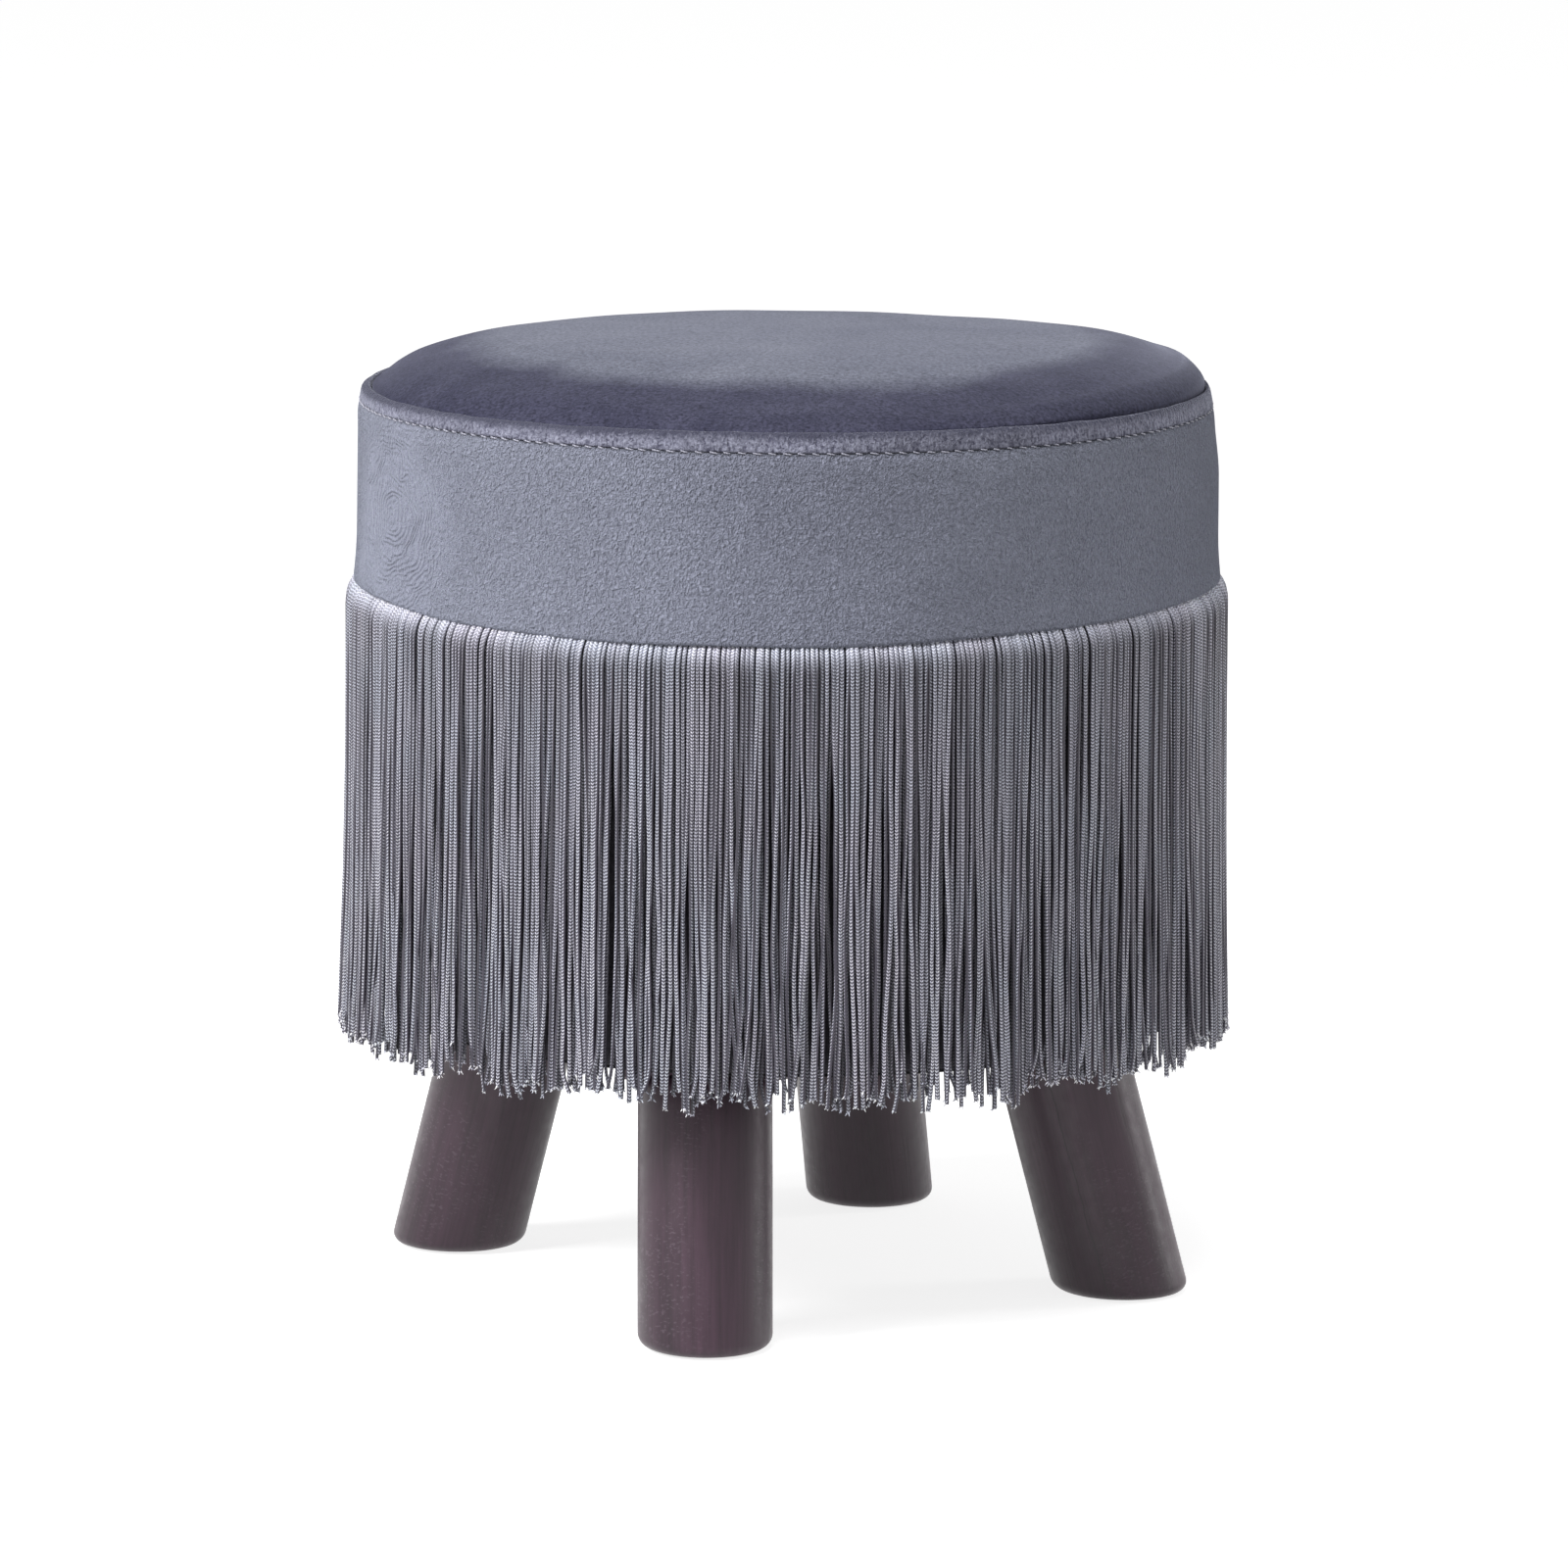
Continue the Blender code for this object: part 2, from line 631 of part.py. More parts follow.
clear_scene()
PARTS = make_collection("footstool")
CUTTERS = make_collection("cutters")
VELVET = make_material("slate_velvet", (0.19, 0.21, 0.28), 0.85)
THREAD = make_material("grey_thread", (0.42, 0.43, 0.50), 0.7)
FRINGE = make_material("lilac_grey_fringe", (0.20, 0.20, 0.24), 0.6)
LINING = make_material("dark_lining", (0.045, 0.042, 0.055), 0.9)
WOOD = make_material("dark_stained_wood", (0.085, 0.065, 0.078), 0.42)
PLAIN_WOOD = make_material("plain_wood", (0.48, 0.34, 0.20), 0.65)
PLYWOOD = make_material("plywood", (0.52, 0.38, 0.24), 0.7)
FIBREBOARD = make_material("fibreboard", (0.30, 0.20, 0.12), 0.8)
FOAM = make_material("foam", (0.72, 0.68, 0.50), 0.95)
BRASS = make_material("brass", (0.62, 0.46, 0.20), 0.35, 1.0)
STEEL = make_material("zinc_steel", (0.55, 0.56, 0.58), 0.35, 1.0)
FELT = make_material("dark_felt", (0.05, 0.045, 0.05), 0.95)
make_footstool()
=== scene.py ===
"""The looks of a round velvet footstool with a long fringe skirt and four splayed wooden legs.

Lengths are in metres and +Z is up. The origin is on the floor under the middle of the seat.
"""

import math
import random

import bmesh
import bpy
import numpy as np
from mathutils import Matrix, Vector
from mathutils.geometry import delaunay_2d_cdt


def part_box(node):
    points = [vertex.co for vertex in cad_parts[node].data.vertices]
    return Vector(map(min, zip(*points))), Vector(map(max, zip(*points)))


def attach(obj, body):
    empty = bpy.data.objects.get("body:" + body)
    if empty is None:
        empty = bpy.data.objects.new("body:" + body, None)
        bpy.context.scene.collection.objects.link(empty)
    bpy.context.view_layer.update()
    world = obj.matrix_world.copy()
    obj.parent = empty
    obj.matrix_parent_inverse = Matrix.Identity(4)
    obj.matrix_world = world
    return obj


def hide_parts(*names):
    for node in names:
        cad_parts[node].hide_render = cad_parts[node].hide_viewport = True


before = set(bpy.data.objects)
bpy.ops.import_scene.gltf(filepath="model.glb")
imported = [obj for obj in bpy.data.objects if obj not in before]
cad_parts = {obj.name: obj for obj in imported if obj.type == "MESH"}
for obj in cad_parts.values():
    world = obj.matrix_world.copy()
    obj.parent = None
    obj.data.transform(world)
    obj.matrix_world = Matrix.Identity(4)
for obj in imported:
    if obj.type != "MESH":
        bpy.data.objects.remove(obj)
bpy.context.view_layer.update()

# The photograph's view
VIEW_TURN = math.radians(13.934)  # the camera's place round the stool, from the -Y side towards +X
VIEW_RISE = math.radians(9.559)
VIEW_DISTANCE = 3.0938
VIEW_ROLL = math.radians(0.469)
VIEW_LENS = 192.67
VIEW_TARGET = Vector((-0.00054, -0.00013, 0.1829))
FRONT = VIEW_TURN - math.pi / 2  # the direction from the stool to the camera, in the floor plane

# Seat and band. Heights and radii that the part has too are the same there.
RIDGE_HEIGHT = 0.332
CROWN_EDGE = 0.1521  # the top panel's radius, inside the ridge
CROWN_RISE = 0.0185
CROWN_POWER = 4.15
CROWN_LOW = 0.3284  # the lower edge of the top panel's rim
FOAM_EDGE = 0.1495
FOAM_LOW = 0.3132
VELVET = 0.0012  # the cloth's thickness
STITCH_HEIGHT = 0.3255
STITCH_RADIUS = 0.15688
STITCH_THICK = 0.00029  # half a stitch's thickness
STITCH_COUNT = 192
PUCKER = 0.00012  # how far each stitch pulls the cloth in
BAND_RADIUS = 0.1575
BAND_TOP = 0.3240
BAND_BOTTOM = 0.2575
DRUM_RADIUS = 0.1513

# How padding and cloth differ round the stool, as in the photograph
PLUMP_SIDE = math.radians(14.0)  # the direction in which the seat's padding is plumper
SHOULDER_RIGHT = 0.0063  # how much the padding swells there, just inside the seat's edge
SHOULDER_LEFT = 0.0020  # and on the opposite side
SHOULDER_RADIUS = 0.1391
SHOULDER_WIDTH = 0.0379
SHOULDER_EDGE = 0.0075  # the swelling ends within this of the ridge
EDGE_TILT = 0.0015  # the seat's edge is this much higher on its plump side, and lower opposite
DRAWN_IN = 0.0018  # how far the ridge and the band's top are pulled in on the plump side
HEM_RIGHT = 0.0050  # how much the band's lower edge rises at the right of the photograph's view
HEM_LEFT = 0.0026  # and at its left

# Places in the velvet's colours, some of them painted shade and a painted sheen
WHORL = (-0.1216, -0.1005, 0.292)  # a hand's swirl in the band's pile
# Painted shade in the seam under the ridge: band and ridge darkened there to CREASE_SHADE of their colour
BAND_SEAM_SHADE = (0.3246, 0.3252)  # heights between which painted shade deepens on the band into the seam
RIDGE_SEAM_SHADE = (0.3257, 0.3264)  # and between which the ridge's painted shade fades as it comes out of it
CREASE_SHADE = 0.55
PAINTED_SHEEN_EDGE = (0.107, 0.123)  # radii between which the seat's painted sheen patch ends and painted shade towards its edge begins

# Fringe
SECTORS = 12
CORD_ROWS = (  # cords in a sector, depth inside the outer row, sides of a cord, and shade, painted darker for the inner row as shade in the fringe's depth
    (48, 0.0, 8, 1.0),
    (42, 0.0022, 6, 0.64),
)
CORD_PARTS = np.concatenate([  # the places of a cord's points along it, from 0 to 1
    np.linspace(0.0, 0.10, 9)[:-1],
    np.linspace(0.10, 0.93, 15)[:-1],
    np.linspace(0.93, 0.99, 4),
    [0.996, 1.0],
])
CORD_WIDE = 0.00088  # half the width of a cord's broad face
CORD_THIN = 0.00062  # half its thickness
CORD_HANG = 0.1612  # where the outer cords hang
CORD_START = 0.1575  # where they lie at the band's lower edge
CORD_ROOT = 0.0038  # how far up a cord starts, behind the band's lower edge
CORD_ROLL = 0.010  # height in which a cord rolls out from under the band
CORD_LIT = 0.0055  # height below the band's edge in which the painted highlight on a cord's roll fades out
CORD_BULGE = 0.0019  # how far the tips stand out
CORD_WAVES = ((1, 0.00055), (2, 0.00055), (3, 0.00055), (5, 0.00022), (8, 0.00012))
CORD_STITCH = 0.00118  # length of a knitted stitch
SHADE_LIMIT = 1.16
TIP_HEIGHT = 0.0976
TIP_SPREAD = 0.0027
FRAYS = 4  # loose fibres at a cord's tip
FRAY_STITCH = (0.075, 0.000013)  # the lightest place of a stitch, for the loose fibres
FRAY_SHADE = 1.15
TAPE_LOW = 0.2597
TAPE_HIGH = 0.2687
TAPE_THICK = 0.0030

# Under cover
COVER_RADIUS = 0.1496
COVER_THICK = 0.0007
COVER_SAG = 0.0016
COVER_PITCH = 0.0045  # distance between the points of its mesh
BLOCK_HOLE = 0.0304
STAPLE_COUNT = 36
STAPLE_THICK = 0.00033  # half its thickness
STAPLE_HALF = 0.0046  # half its length
STAPLE_INSET = 0.0060

# Legs
LEG_RADIUS = 0.0242
LEG_TOP = 0.09576  # along the leg's axis, from the middle of the foot
LEG_EDGE = 0.0042
LEG_LIFT = 0.0008  # the wood above the floor, on its felt glide
LEG_SIDES = 96
GLIDE_RADIUS = 0.0173
GLIDE_TOP = 0.0033
BOLT_RADIUS = 0.0043
BOLT_DEPTH = 0.0353

SIDES = ("front", "right", "back", "left")


# ---------------- meshes


def add_object(name, data):
    """An object in the scene."""
    obj = bpy.data.objects.new(name, data)
    bpy.context.scene.collection.objects.link(obj)
    return obj


def rework(mesh, work):
    """Runs an edit of a mesh that only bmesh has."""
    bm = bmesh.new()
    bm.from_mesh(mesh)
    work(bm)
    bm.to_mesh(mesh)
    bm.free()


def piece(name, points, faces, material, corner_uvs=None, values=None, vectors=None):
    """A mesh piece of the stool, with numbers or vectors kept at its points for its material.
    Without UVs it is a closed body, and its faces are turned to its outside."""
    mesh = bpy.data.meshes.new(name)
    mesh.from_pydata(points, [], faces, shade_flat=False)
    if corner_uvs is not None:
        mesh.uv_layers.new(name="UVMap").data.foreach_set("uv", np.float32(corner_uvs).ravel())
    for kind, slot, kept in (("FLOAT", "value", values), ("FLOAT_VECTOR", "vector", vectors)):
        for key, numbers in (kept or {}).items():
            attribute = mesh.attributes.new(key, kind, "POINT")
            attribute.data.foreach_set(slot, np.float32(numbers).ravel())
    if corner_uvs is None:
        rework(mesh, lambda bm: bmesh.ops.recalc_face_normals(bm, faces=bm.faces))
    mesh.materials.append(material)
    obj = add_object(name, mesh)
    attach(obj, "root")
    return obj


def round_axis(angle, radius, height):
    """Points at angles round an axis."""
    return np.stack([radius * np.cos(angle), radius * np.sin(angle), height], -1)


def turned_mesh(section, steps, move, poles):
    """Points and faces of a closed turned body. The section is a loop of (radius, height), or
    with poles a line that starts and ends on the axis. move takes angle, radius and height."""
    inner = np.array(section[1:-1] if poles else section, float)
    count = len(inner)
    theta = np.repeat((2 * math.pi * np.arange(steps) / steps)[:, None], count, 1)
    radius, height = (np.repeat(inner[None, :, axis], steps, 0) for axis in (0, 1))
    radius, height = move(theta, radius, height)
    points = round_axis(theta, radius, height).reshape(-1, 3).tolist()
    here = np.arange(steps * count).reshape(steps, count)
    after = np.roll(here, -1, 0)
    faces = np.stack([here, after, np.roll(after, -1, 1), np.roll(here, -1, 1)], -1)
    if not poles:
        return points, faces.reshape(-1, 4).tolist()
    faces = faces[:, :-1].reshape(-1, 4).tolist()
    first = len(points)
    points += [(0.0, 0.0, float(np.mean(height[:, end]))) for end in (0, -1)]
    for low, high in zip(here.tolist(), after.tolist()):
        faces += [(first, high[0], low[0]), (first + 1, low[-1], high[-1])]
    return points, faces


def turned(name, section, steps, material, move, poles=False):
    """A closed turned piece."""
    return piece(name, *turned_mesh(section, steps, move, poles), material)


def wall(radius, heights):
    """An upright line of a section."""
    return [(radius, float(height)) for height in heights]


def wave_field(parts, strength):
    """The sum of sine waves over two directions. Each is its two rates and its phase."""

    def field(first, second):
        total = sum(np.sin(a * first + b * second + phase) for a, b, phase in parts)
        return strength * total / math.sqrt(len(parts))

    return field


def waves(seed, count, turns, along, strength):
    """A smooth uneven field over the angle round the stool and a second direction in metres."""
    chance = random.Random(seed)
    parts = []
    for _ in range(count):
        parts.append((chance.randint(*turns), chance.uniform(-along, along), chance.uniform(0, 6.28)))
    return wave_field(parts, strength)


def plane_waves(seed, count, low, high, strength):
    """A smooth uneven field over X and Y, from waves of between low and high radians a metre."""
    chance = random.Random(seed)
    parts = []
    for _ in range(count):
        turn, rate = chance.uniform(0, 6.28), chance.uniform(low, high)
        parts.append((rate * math.cos(turn), rate * math.sin(turn), chance.uniform(0, 6.28)))
    return wave_field(parts, strength)


def steps_round(count):
    """Equal steps of angle round a circle."""
    return [2 * math.pi * number / count for number in range(count)]


def step_between(value, zero, one):
    """0 at one value and beyond, 1 at another and beyond, and smooth between them."""
    part = np.clip((value - zero) / (one - zero), 0.0, 1.0)
    return part * part * (3 - 2 * part)


def near_side(theta, direction):
    """1 in a direction from the axis, and 0 a quarter turn or more away."""
    away = np.abs((theta - direction + math.pi) % (2 * math.pi) - math.pi)
    return np.cos(np.minimum(away, math.pi / 2)) ** 2


# ---------------- tubes


def unit(vectors):
    """Each vector at a length of 1."""
    return vectors / np.linalg.norm(vectors, axis=1)[:, None]


def outward(points):
    """The level direction away from the stool's axis, at each point."""
    return unit(points * np.array([1.0, 1.0, 0.0]))


def tube(line, first, second, thin, wide, along, sides):
    """A closed tube round a line, as points, faces and the UVs of their corners. It is thin in
    the first direction and wide in the second, and U runs round it and V along it."""
    rings = len(line)
    turn = 2 * math.pi * np.arange(sides) / sides
    across = np.cos(turn)[None, :, None] * thin[:, None, None]
    broad = np.sin(turn)[None, :, None] * wide[:, None, None]
    grid = line[:, None, :] + first[:, None, :] * across + second[:, None, :] * broad
    index = np.arange(rings * sides).reshape(rings, sides)
    low, high = index[:-1], index[1:]
    faces = np.stack([low, high, np.roll(high, -1, 1), np.roll(low, -1, 1)], -1).reshape(-1, 4)
    edge = np.arange(sides) / sides
    uvs = np.zeros((rings - 1, sides, 4, 2))
    uvs[..., 0] = np.stack([edge, edge, edge + 1 / sides, edge + 1 / sides], -1)
    uvs[..., 1] = np.stack([along[:-1], along[1:], along[1:], along[:-1]], -1)[:, None, :]
    caps = []
    for ring, order in ((index[0], 1), (index[-1], -1)):
        for k in range(sides // 2 - 1):
            caps.append([ring[k], ring[k + 1], ring[-2 - k], ring[-1 - k]][::order])
    cap_uvs = np.zeros((2, len(caps) // 2, 4, 2))
    cap_uvs[..., 1] = np.array([along[0], along[-1]])[:, None, None]
    corners = np.concatenate([uvs.reshape(-1, 4, 2), cap_uvs.reshape(-1, 4, 2)])
    return grid.reshape(-1, 3), np.concatenate([faces, caps]), corners


def flat_tube(line, around, along, wide, thin, sides):
    """A flattened tube along a hanging line, turned round it by an angle at each point."""
    tangent = unit(np.gradient(line, axis=0))
    first = unit(np.cross(tangent, outward(line)))
    second = np.cross(first, tangent)
    cos, sin = np.cos(around)[:, None], np.sin(around)[:, None]
    return tube(line, second * cos + first * sin, first * cos - second * sin, thin, wide, along, sides)


def level_tube(line, along, thick):
    """A round tube along a line that runs round the stool."""
    up = np.broadcast_to([0.0, 0.0, 1.0], line.shape)
    return tube(line, outward(line), up, thick, thick, along, 6)


class Bundle:
    """Tubes that make up one piece, with numbers kept at their points."""

    def __init__(self):
        self.points, self.faces, self.uvs = [], [], []
        self.values = {}
        self.total = 0

    def add(self, points, faces, uvs, **values):
        self.points.append(points)
        self.faces.append(faces + self.total)
        self.uvs.append(uvs)
        for key, numbers in values.items():
            self.values.setdefault(key, []).append(np.broadcast_to(numbers, len(points)))
        self.total += len(points)

    def piece(self, name, material):
        values = {key: np.concatenate(numbers) for key, numbers in self.values.items()}
        points, faces, uvs = (np.concatenate(part) for part in (self.points, self.faces, self.uvs))
        return piece(name, points.tolist(), faces.tolist(), material, uvs, values)


# ---------------- materials


class Nodes:
    """Short ways to add nodes to a tree."""

    def __init__(self, tree):
        self.tree = tree

    def feed(self, socket, value):
        if isinstance(value, bpy.types.NodeSocket):
            self.tree.links.new(value, socket)
        else:
            socket.default_value = value

    def node(self, kind, inputs=None, **settings):
        node = self.tree.nodes.new("ShaderNode" + kind)
        for key, value in settings.items():
            setattr(node, key, value)
        for key, value in (inputs or {}).items():
            self.feed(node.inputs[key], value)
        return node

    def math(self, operation, first, second=0.5):
        return self.node("Math", {0: first, 1: second}, operation=operation).outputs[0]

    def total(self, first, second):
        return self.math("ADD", first, second)

    def product(self, first, second):
        return self.math("MULTIPLY", first, second)

    def weigh(self, first, share, second, other):
        """Two values added up, each times its weight."""
        return self.total(self.product(first, share), self.product(second, other))

    def ramp(self, value, low, high, start=0.0, end=1.0):
        inputs = {"Value": value, "From Min": low, "From Max": high, "To Min": start, "To Max": end}
        return self.node("MapRange", inputs).outputs["Result"]

    def seen(self):
        """1 for rays from the camera, mirrored and refracted rays, and 0 for what lights things."""
        path = self.node("LightPath").outputs
        seen = self.math("MAXIMUM", path["Is Camera Ray"], path["Is Glossy Ray"])
        return self.math("MAXIMUM", seen, path["Is Transmission Ray"])


class Surface(Nodes):
    """A material in the stool's own coordinates."""

    def __init__(self, name, **sockets):
        self.material = bpy.data.materials.new(name)
        self.material.use_nodes = True
        super().__init__(self.material.node_tree)
        self.shader = self.tree.nodes["Principled BSDF"]
        for socket, value in sockets.items():
            self.feed(self.shader.inputs[socket.replace("_", " ")], value)
        self.place = self.node("TexCoord").outputs["Object"]

    def parts(self, vector=None):
        """The numbers of a vector, or of the place on the stool."""
        return self.node("SeparateXYZ", {0: vector or self.place}).outputs

    def kept(self, name, output="Fac"):
        """What a mesh keeps at its points."""
        return self.node("Attribute", attribute_name=name).outputs[output]

    def noise(self, scale, detail=2.0, roughness=0.5, distortion=0.0, stretch=None):
        """Noise over the place on the stool, which can be scaled along each axis."""
        place = self.place
        if stretch:
            place = self.node("Mapping", {"Vector": place, "Scale": stretch}).outputs["Vector"]
        inputs = {"Vector": place, "Scale": scale, "Detail": detail}
        inputs.update({"Roughness": roughness, "Distortion": distortion})
        return self.node("TexNoise", inputs).outputs["Fac"]

    def vectors(self, operation, first, second, output=0):
        return self.node("VectorMath", {0: first, 1: second}, operation=operation).outputs[output]

    def mix(self, factor, first, second):
        node = self.node("Mix", data_type="RGBA")
        for index, value in ((0, factor), (6, first), (7, second)):
            if isinstance(value, tuple):
                value = (*value, 1.0)
            self.feed(node.inputs[index], value)
        return node.outputs[2]

    def shaded(self, colour, value, *ramp):
        """The colour made lighter or darker by a ramp of a value, to numbers round 1."""
        return self.vectors("MULTIPLY", colour, self.ramp(value, *ramp))

    def bump(self, height, strength, distance):
        inputs = {"Height": height, "Strength": strength, "Distance": distance}
        normal = self.node("Bump", inputs).outputs["Normal"]
        self.feed(self.shader.inputs["Normal"], normal)

    def finish(self, colour, roughness):
        self.feed(self.shader.inputs["Base Color"], colour)
        self.feed(self.shader.inputs["Roughness"], roughness)
        return self.material


def velvet_surface(name, weight, roughness, specular, tint):
    """Velvet's sheen at a slant, without its colours."""
    return Surface(
        name, Sheen_Weight=weight, Sheen_Roughness=roughness,
        Specular_IOR_Level=specular, Sheen_Tint=(*tint, 1.0),
    )


def band_velvet(name):
    """Short dense pile with fine curved creases, soft brushed patches, one brushed swirl, and painted shade
    where it goes into the seam.
    """
    s = velvet_surface(name, 0.4, 0.30, 0.10, (0.80, 0.86, 1.0))
    stretch = (1.0, 1.0, 0.85)
    swirl = s.noise(840.0, 2.0, 0.6, 0.6, stretch)
    tuft = s.noise(1596.0, 1.0, 0.6, 0.3, stretch)
    tone = s.weigh(swirl, 0.55, tuft, 0.45)
    height = s.weigh(swirl, 1.60, tuft, 0.70)

    spot = s.vectors("DISTANCE", s.place, WHORL, "Value")
    patchy = s.total(spot, s.ramp(s.noise(34.0, 2.0), 0.2, 0.8, -0.014, 0.014))
    calm = s.product(s.ramp(patchy, 0.024, 0.050, 1.0, 0.0), 0.55)
    wobble = s.noise(58.0, 1.5, 0.5, 0.4, stretch=(1.0, 1.0, 1.4))
    rings = s.weigh(spot, 390.0, wobble, 7.0)
    line = s.math("SINE", s.product(rings, 2 * math.pi))
    height = s.mix(calm, height, s.ramp(line, -1.0, 1.0, 0.92, 1.48))
    tone = s.mix(calm, tone, s.ramp(line, -1.0, 1.0, 0.46, 0.53))

    patch = s.ramp(s.noise(15.0, 3.0, 0.55, 0.8), 0.32, 0.68)
    colour = s.mix(patch, (0.270, 0.281, 0.361), (0.314, 0.328, 0.418))
    colour = s.shaded(colour, tone, 0.34, 0.66, 0.71, 1.29)
    # painted shade: darker towards the seam at the band's top
    colour = s.shaded(colour, s.parts()[2], *BAND_SEAM_SHADE, 1.0, CREASE_SHADE)
    s.bump(height, 1.0, 0.00255)
    return s.finish(colour, s.ramp(tuft, 0.3, 0.7, 0.92, 0.76))


def seat_velvet(name):
    """The top panel's pile: a painted sheen makes it lighter where the seat is flat, and painted shade makes
    it darker towards the edge, all round.
    """
    s = velvet_surface(name, 0.34, 0.38, 0.06, (0.80, 0.83, 1.0))
    x, y, _ = s.parts()
    flat = s.node("CombineXYZ", {0: x, 1: y}).outputs[0]
    radius = s.node("VectorMath", {0: flat}, operation="LENGTH").outputs["Value"]
    soft = s.noise(22.0, 3.0, 0.6, 0.6)
    radius = s.total(radius, s.ramp(soft, 0.25, 0.75, -0.007, 0.007))
    patch = s.ramp(s.noise(13.0, 3.0, 0.55, 1.2), 0.30, 0.70)
    # painted sheen in the flat middle and painted shade towards the edge, both with brushed patches
    patchy_painted_sheen = s.mix(patch, (0.110, 0.117, 0.152), (0.150, 0.158, 0.196))
    patchy_painted_shade = s.mix(patch, (0.027, 0.027, 0.050), (0.054, 0.054, 0.087))
    colour = s.mix(s.ramp(radius, *PAINTED_SHEEN_EDGE), patchy_painted_sheen, patchy_painted_shade)
    tuft = s.noise(760.0, 2.0, 0.7, 0.5)
    colour = s.shaded(colour, tuft, 0.32, 0.68, 0.50, 1.50)
    brushed = s.noise(120.0, 2.0, 0.5, 0.8, stretch=(0.35, 1.0, 1.0))
    s.bump(s.weigh(tuft, 0.5, brushed, 0.5), 0.45, 0.00045)
    return s.finish(colour, s.ramp(tuft, 0.3, 0.7, 0.92, 0.78))


def ridge_velvet(name):
    """The folded ridge: pile that stands up in light streaks, with painted shade along its upper edge, where
    it meets the top panel, and where it comes out of the seam.
    """
    s = velvet_surface(name, 0.5, 0.30, 0.10, (0.82, 0.85, 1.0))
    height = s.parts()[2]
    streak = s.noise(900.0, 2.0, 0.6, 0.3, stretch=(1.0, 1.0, 0.22))
    broad = s.noise(38.0, 2.0, 0.5)
    # where the painted shade line begins: uneven with the streaks, and following the seat edge's tilt
    level = s.total(height, s.ramp(streak, 0.25, 0.75, -0.0016, 0.0016))
    level = s.total(level, s.ramp(broad, 0.25, 0.75, -0.0010, 0.0010))
    slope = -EDGE_TILT / 0.155
    tilt = (slope * math.cos(PLUMP_SIDE), slope * math.sin(PLUMP_SIDE), 0.0)
    lean = s.vectors("DOT_PRODUCT", s.place, tilt, "Value")
    level = s.total(level, s.math("MAXIMUM", lean, 0.0))
    tuft = s.noise(900.0, 2.0, 0.6, 0.5)
    tone = s.weigh(streak, 0.4, tuft, 0.6)
    colour = s.mix(s.ramp(tone, 0.38, 0.62), (0.076, 0.076, 0.112), (0.290, 0.295, 0.375))
    colour = s.shaded(colour, broad, 0.35, 0.65, 0.80, 1.20)
    # painted shade: a dark line along the ridge's upper edge, in the gap under the top panel
    colour = s.mix(s.ramp(level, 0.3298, 0.3322), colour, (0.062, 0.063, 0.094))
    # painted shade where the ridge comes out of the seam
    colour = s.shaded(colour, height, *RIDGE_SEAM_SHADE, CREASE_SHADE, 1.0)
    s.bump(tone, 1.0, 0.0013)
    return s.finish(colour, s.ramp(streak, 0.3, 0.7, 0.92, 0.78))


def knitted_cord(name):
    """Shiny chain-knitted cord: two columns of slanted stitches on each broad face, with painted shade
    between the stitches, at each face's edges and along its middle, and a painted highlight on the roll
    under the band.
    """
    s = Surface(name, Specular_IOR_Level=0.8, Coat_Weight=0.20, Coat_Roughness=0.30)
    around, along, _ = s.parts(s.node("TexCoord").outputs["UV"])
    slant = s.product(s.math("PINGPONG", around, 0.25), 4.0)
    phase = s.weigh(along, 2 * math.pi / CORD_STITCH, slant, 5.0)
    stitch = s.ramp(s.math("SINE", phase), -0.18, 0.64)
    # painted shade: each face darker at its edges, where the cords shade each other, and along its middle
    near, far = s.ramp(slant, 0.0, 0.22, 0.46, 1.0), s.ramp(slant, 0.34, 0.68, 1.0, 0.0)
    column = s.product(near, far)
    loop = s.product(s.ramp(stitch, 0.0, 1.0, 0.05, 1.0), column)
    # painted highlight: loops wider and lighter on the roll just under the band
    drawn = s.product(s.kept("drawn"), s.ramp(stitch, 0.0, 1.0, 0.38, 1.0))
    loop = s.math("MAXIMUM", loop, drawn)
    tint = s.ramp(s.noise(38.0, 2.0), 0.35, 0.65)
    light = s.mix(tint, (0.86, 0.84, 1.0), (0.80, 0.84, 1.0))
    # nearly black between the loops: painted shade in the gaps
    colour = s.mix(s.ramp(loop, 0.0, 0.95), (0.016, 0.012, 0.026), light)
    colour = s.vectors("MULTIPLY", colour, s.kept("shade"))
    fibre = s.noise(2600.0, 1.0, stretch=(1.0, 1.0, 0.3))
    colour = s.shaded(colour, fibre, 0.3, 0.7, 0.85, 1.12)
    colour = s.vectors("MINIMUM", colour, (1.0, 1.0, 1.0))
    s.bump(loop, 0.9, 0.0005)
    return s.finish(colour, s.ramp(loop, 0.0, 1.0, 0.70, 0.36))


def thread(name, light, dark):
    """Twisted sewing thread: slanted ply marks along the stitch."""
    s = Surface(name, Specular_IOR_Level=0.5, Sheen_Weight=0.2)
    around, along, _ = s.parts(s.node("TexCoord").outputs["UV"])
    ply = s.ramp(s.math("SINE", s.weigh(along, 5400.0, around, 6.283)), -1.0, 1.0)
    s.bump(ply, 0.5, 0.0001)
    return s.finish(s.mix(ply, dark, light), s.ramp(ply, 0.0, 1.0, 0.65, 0.45))


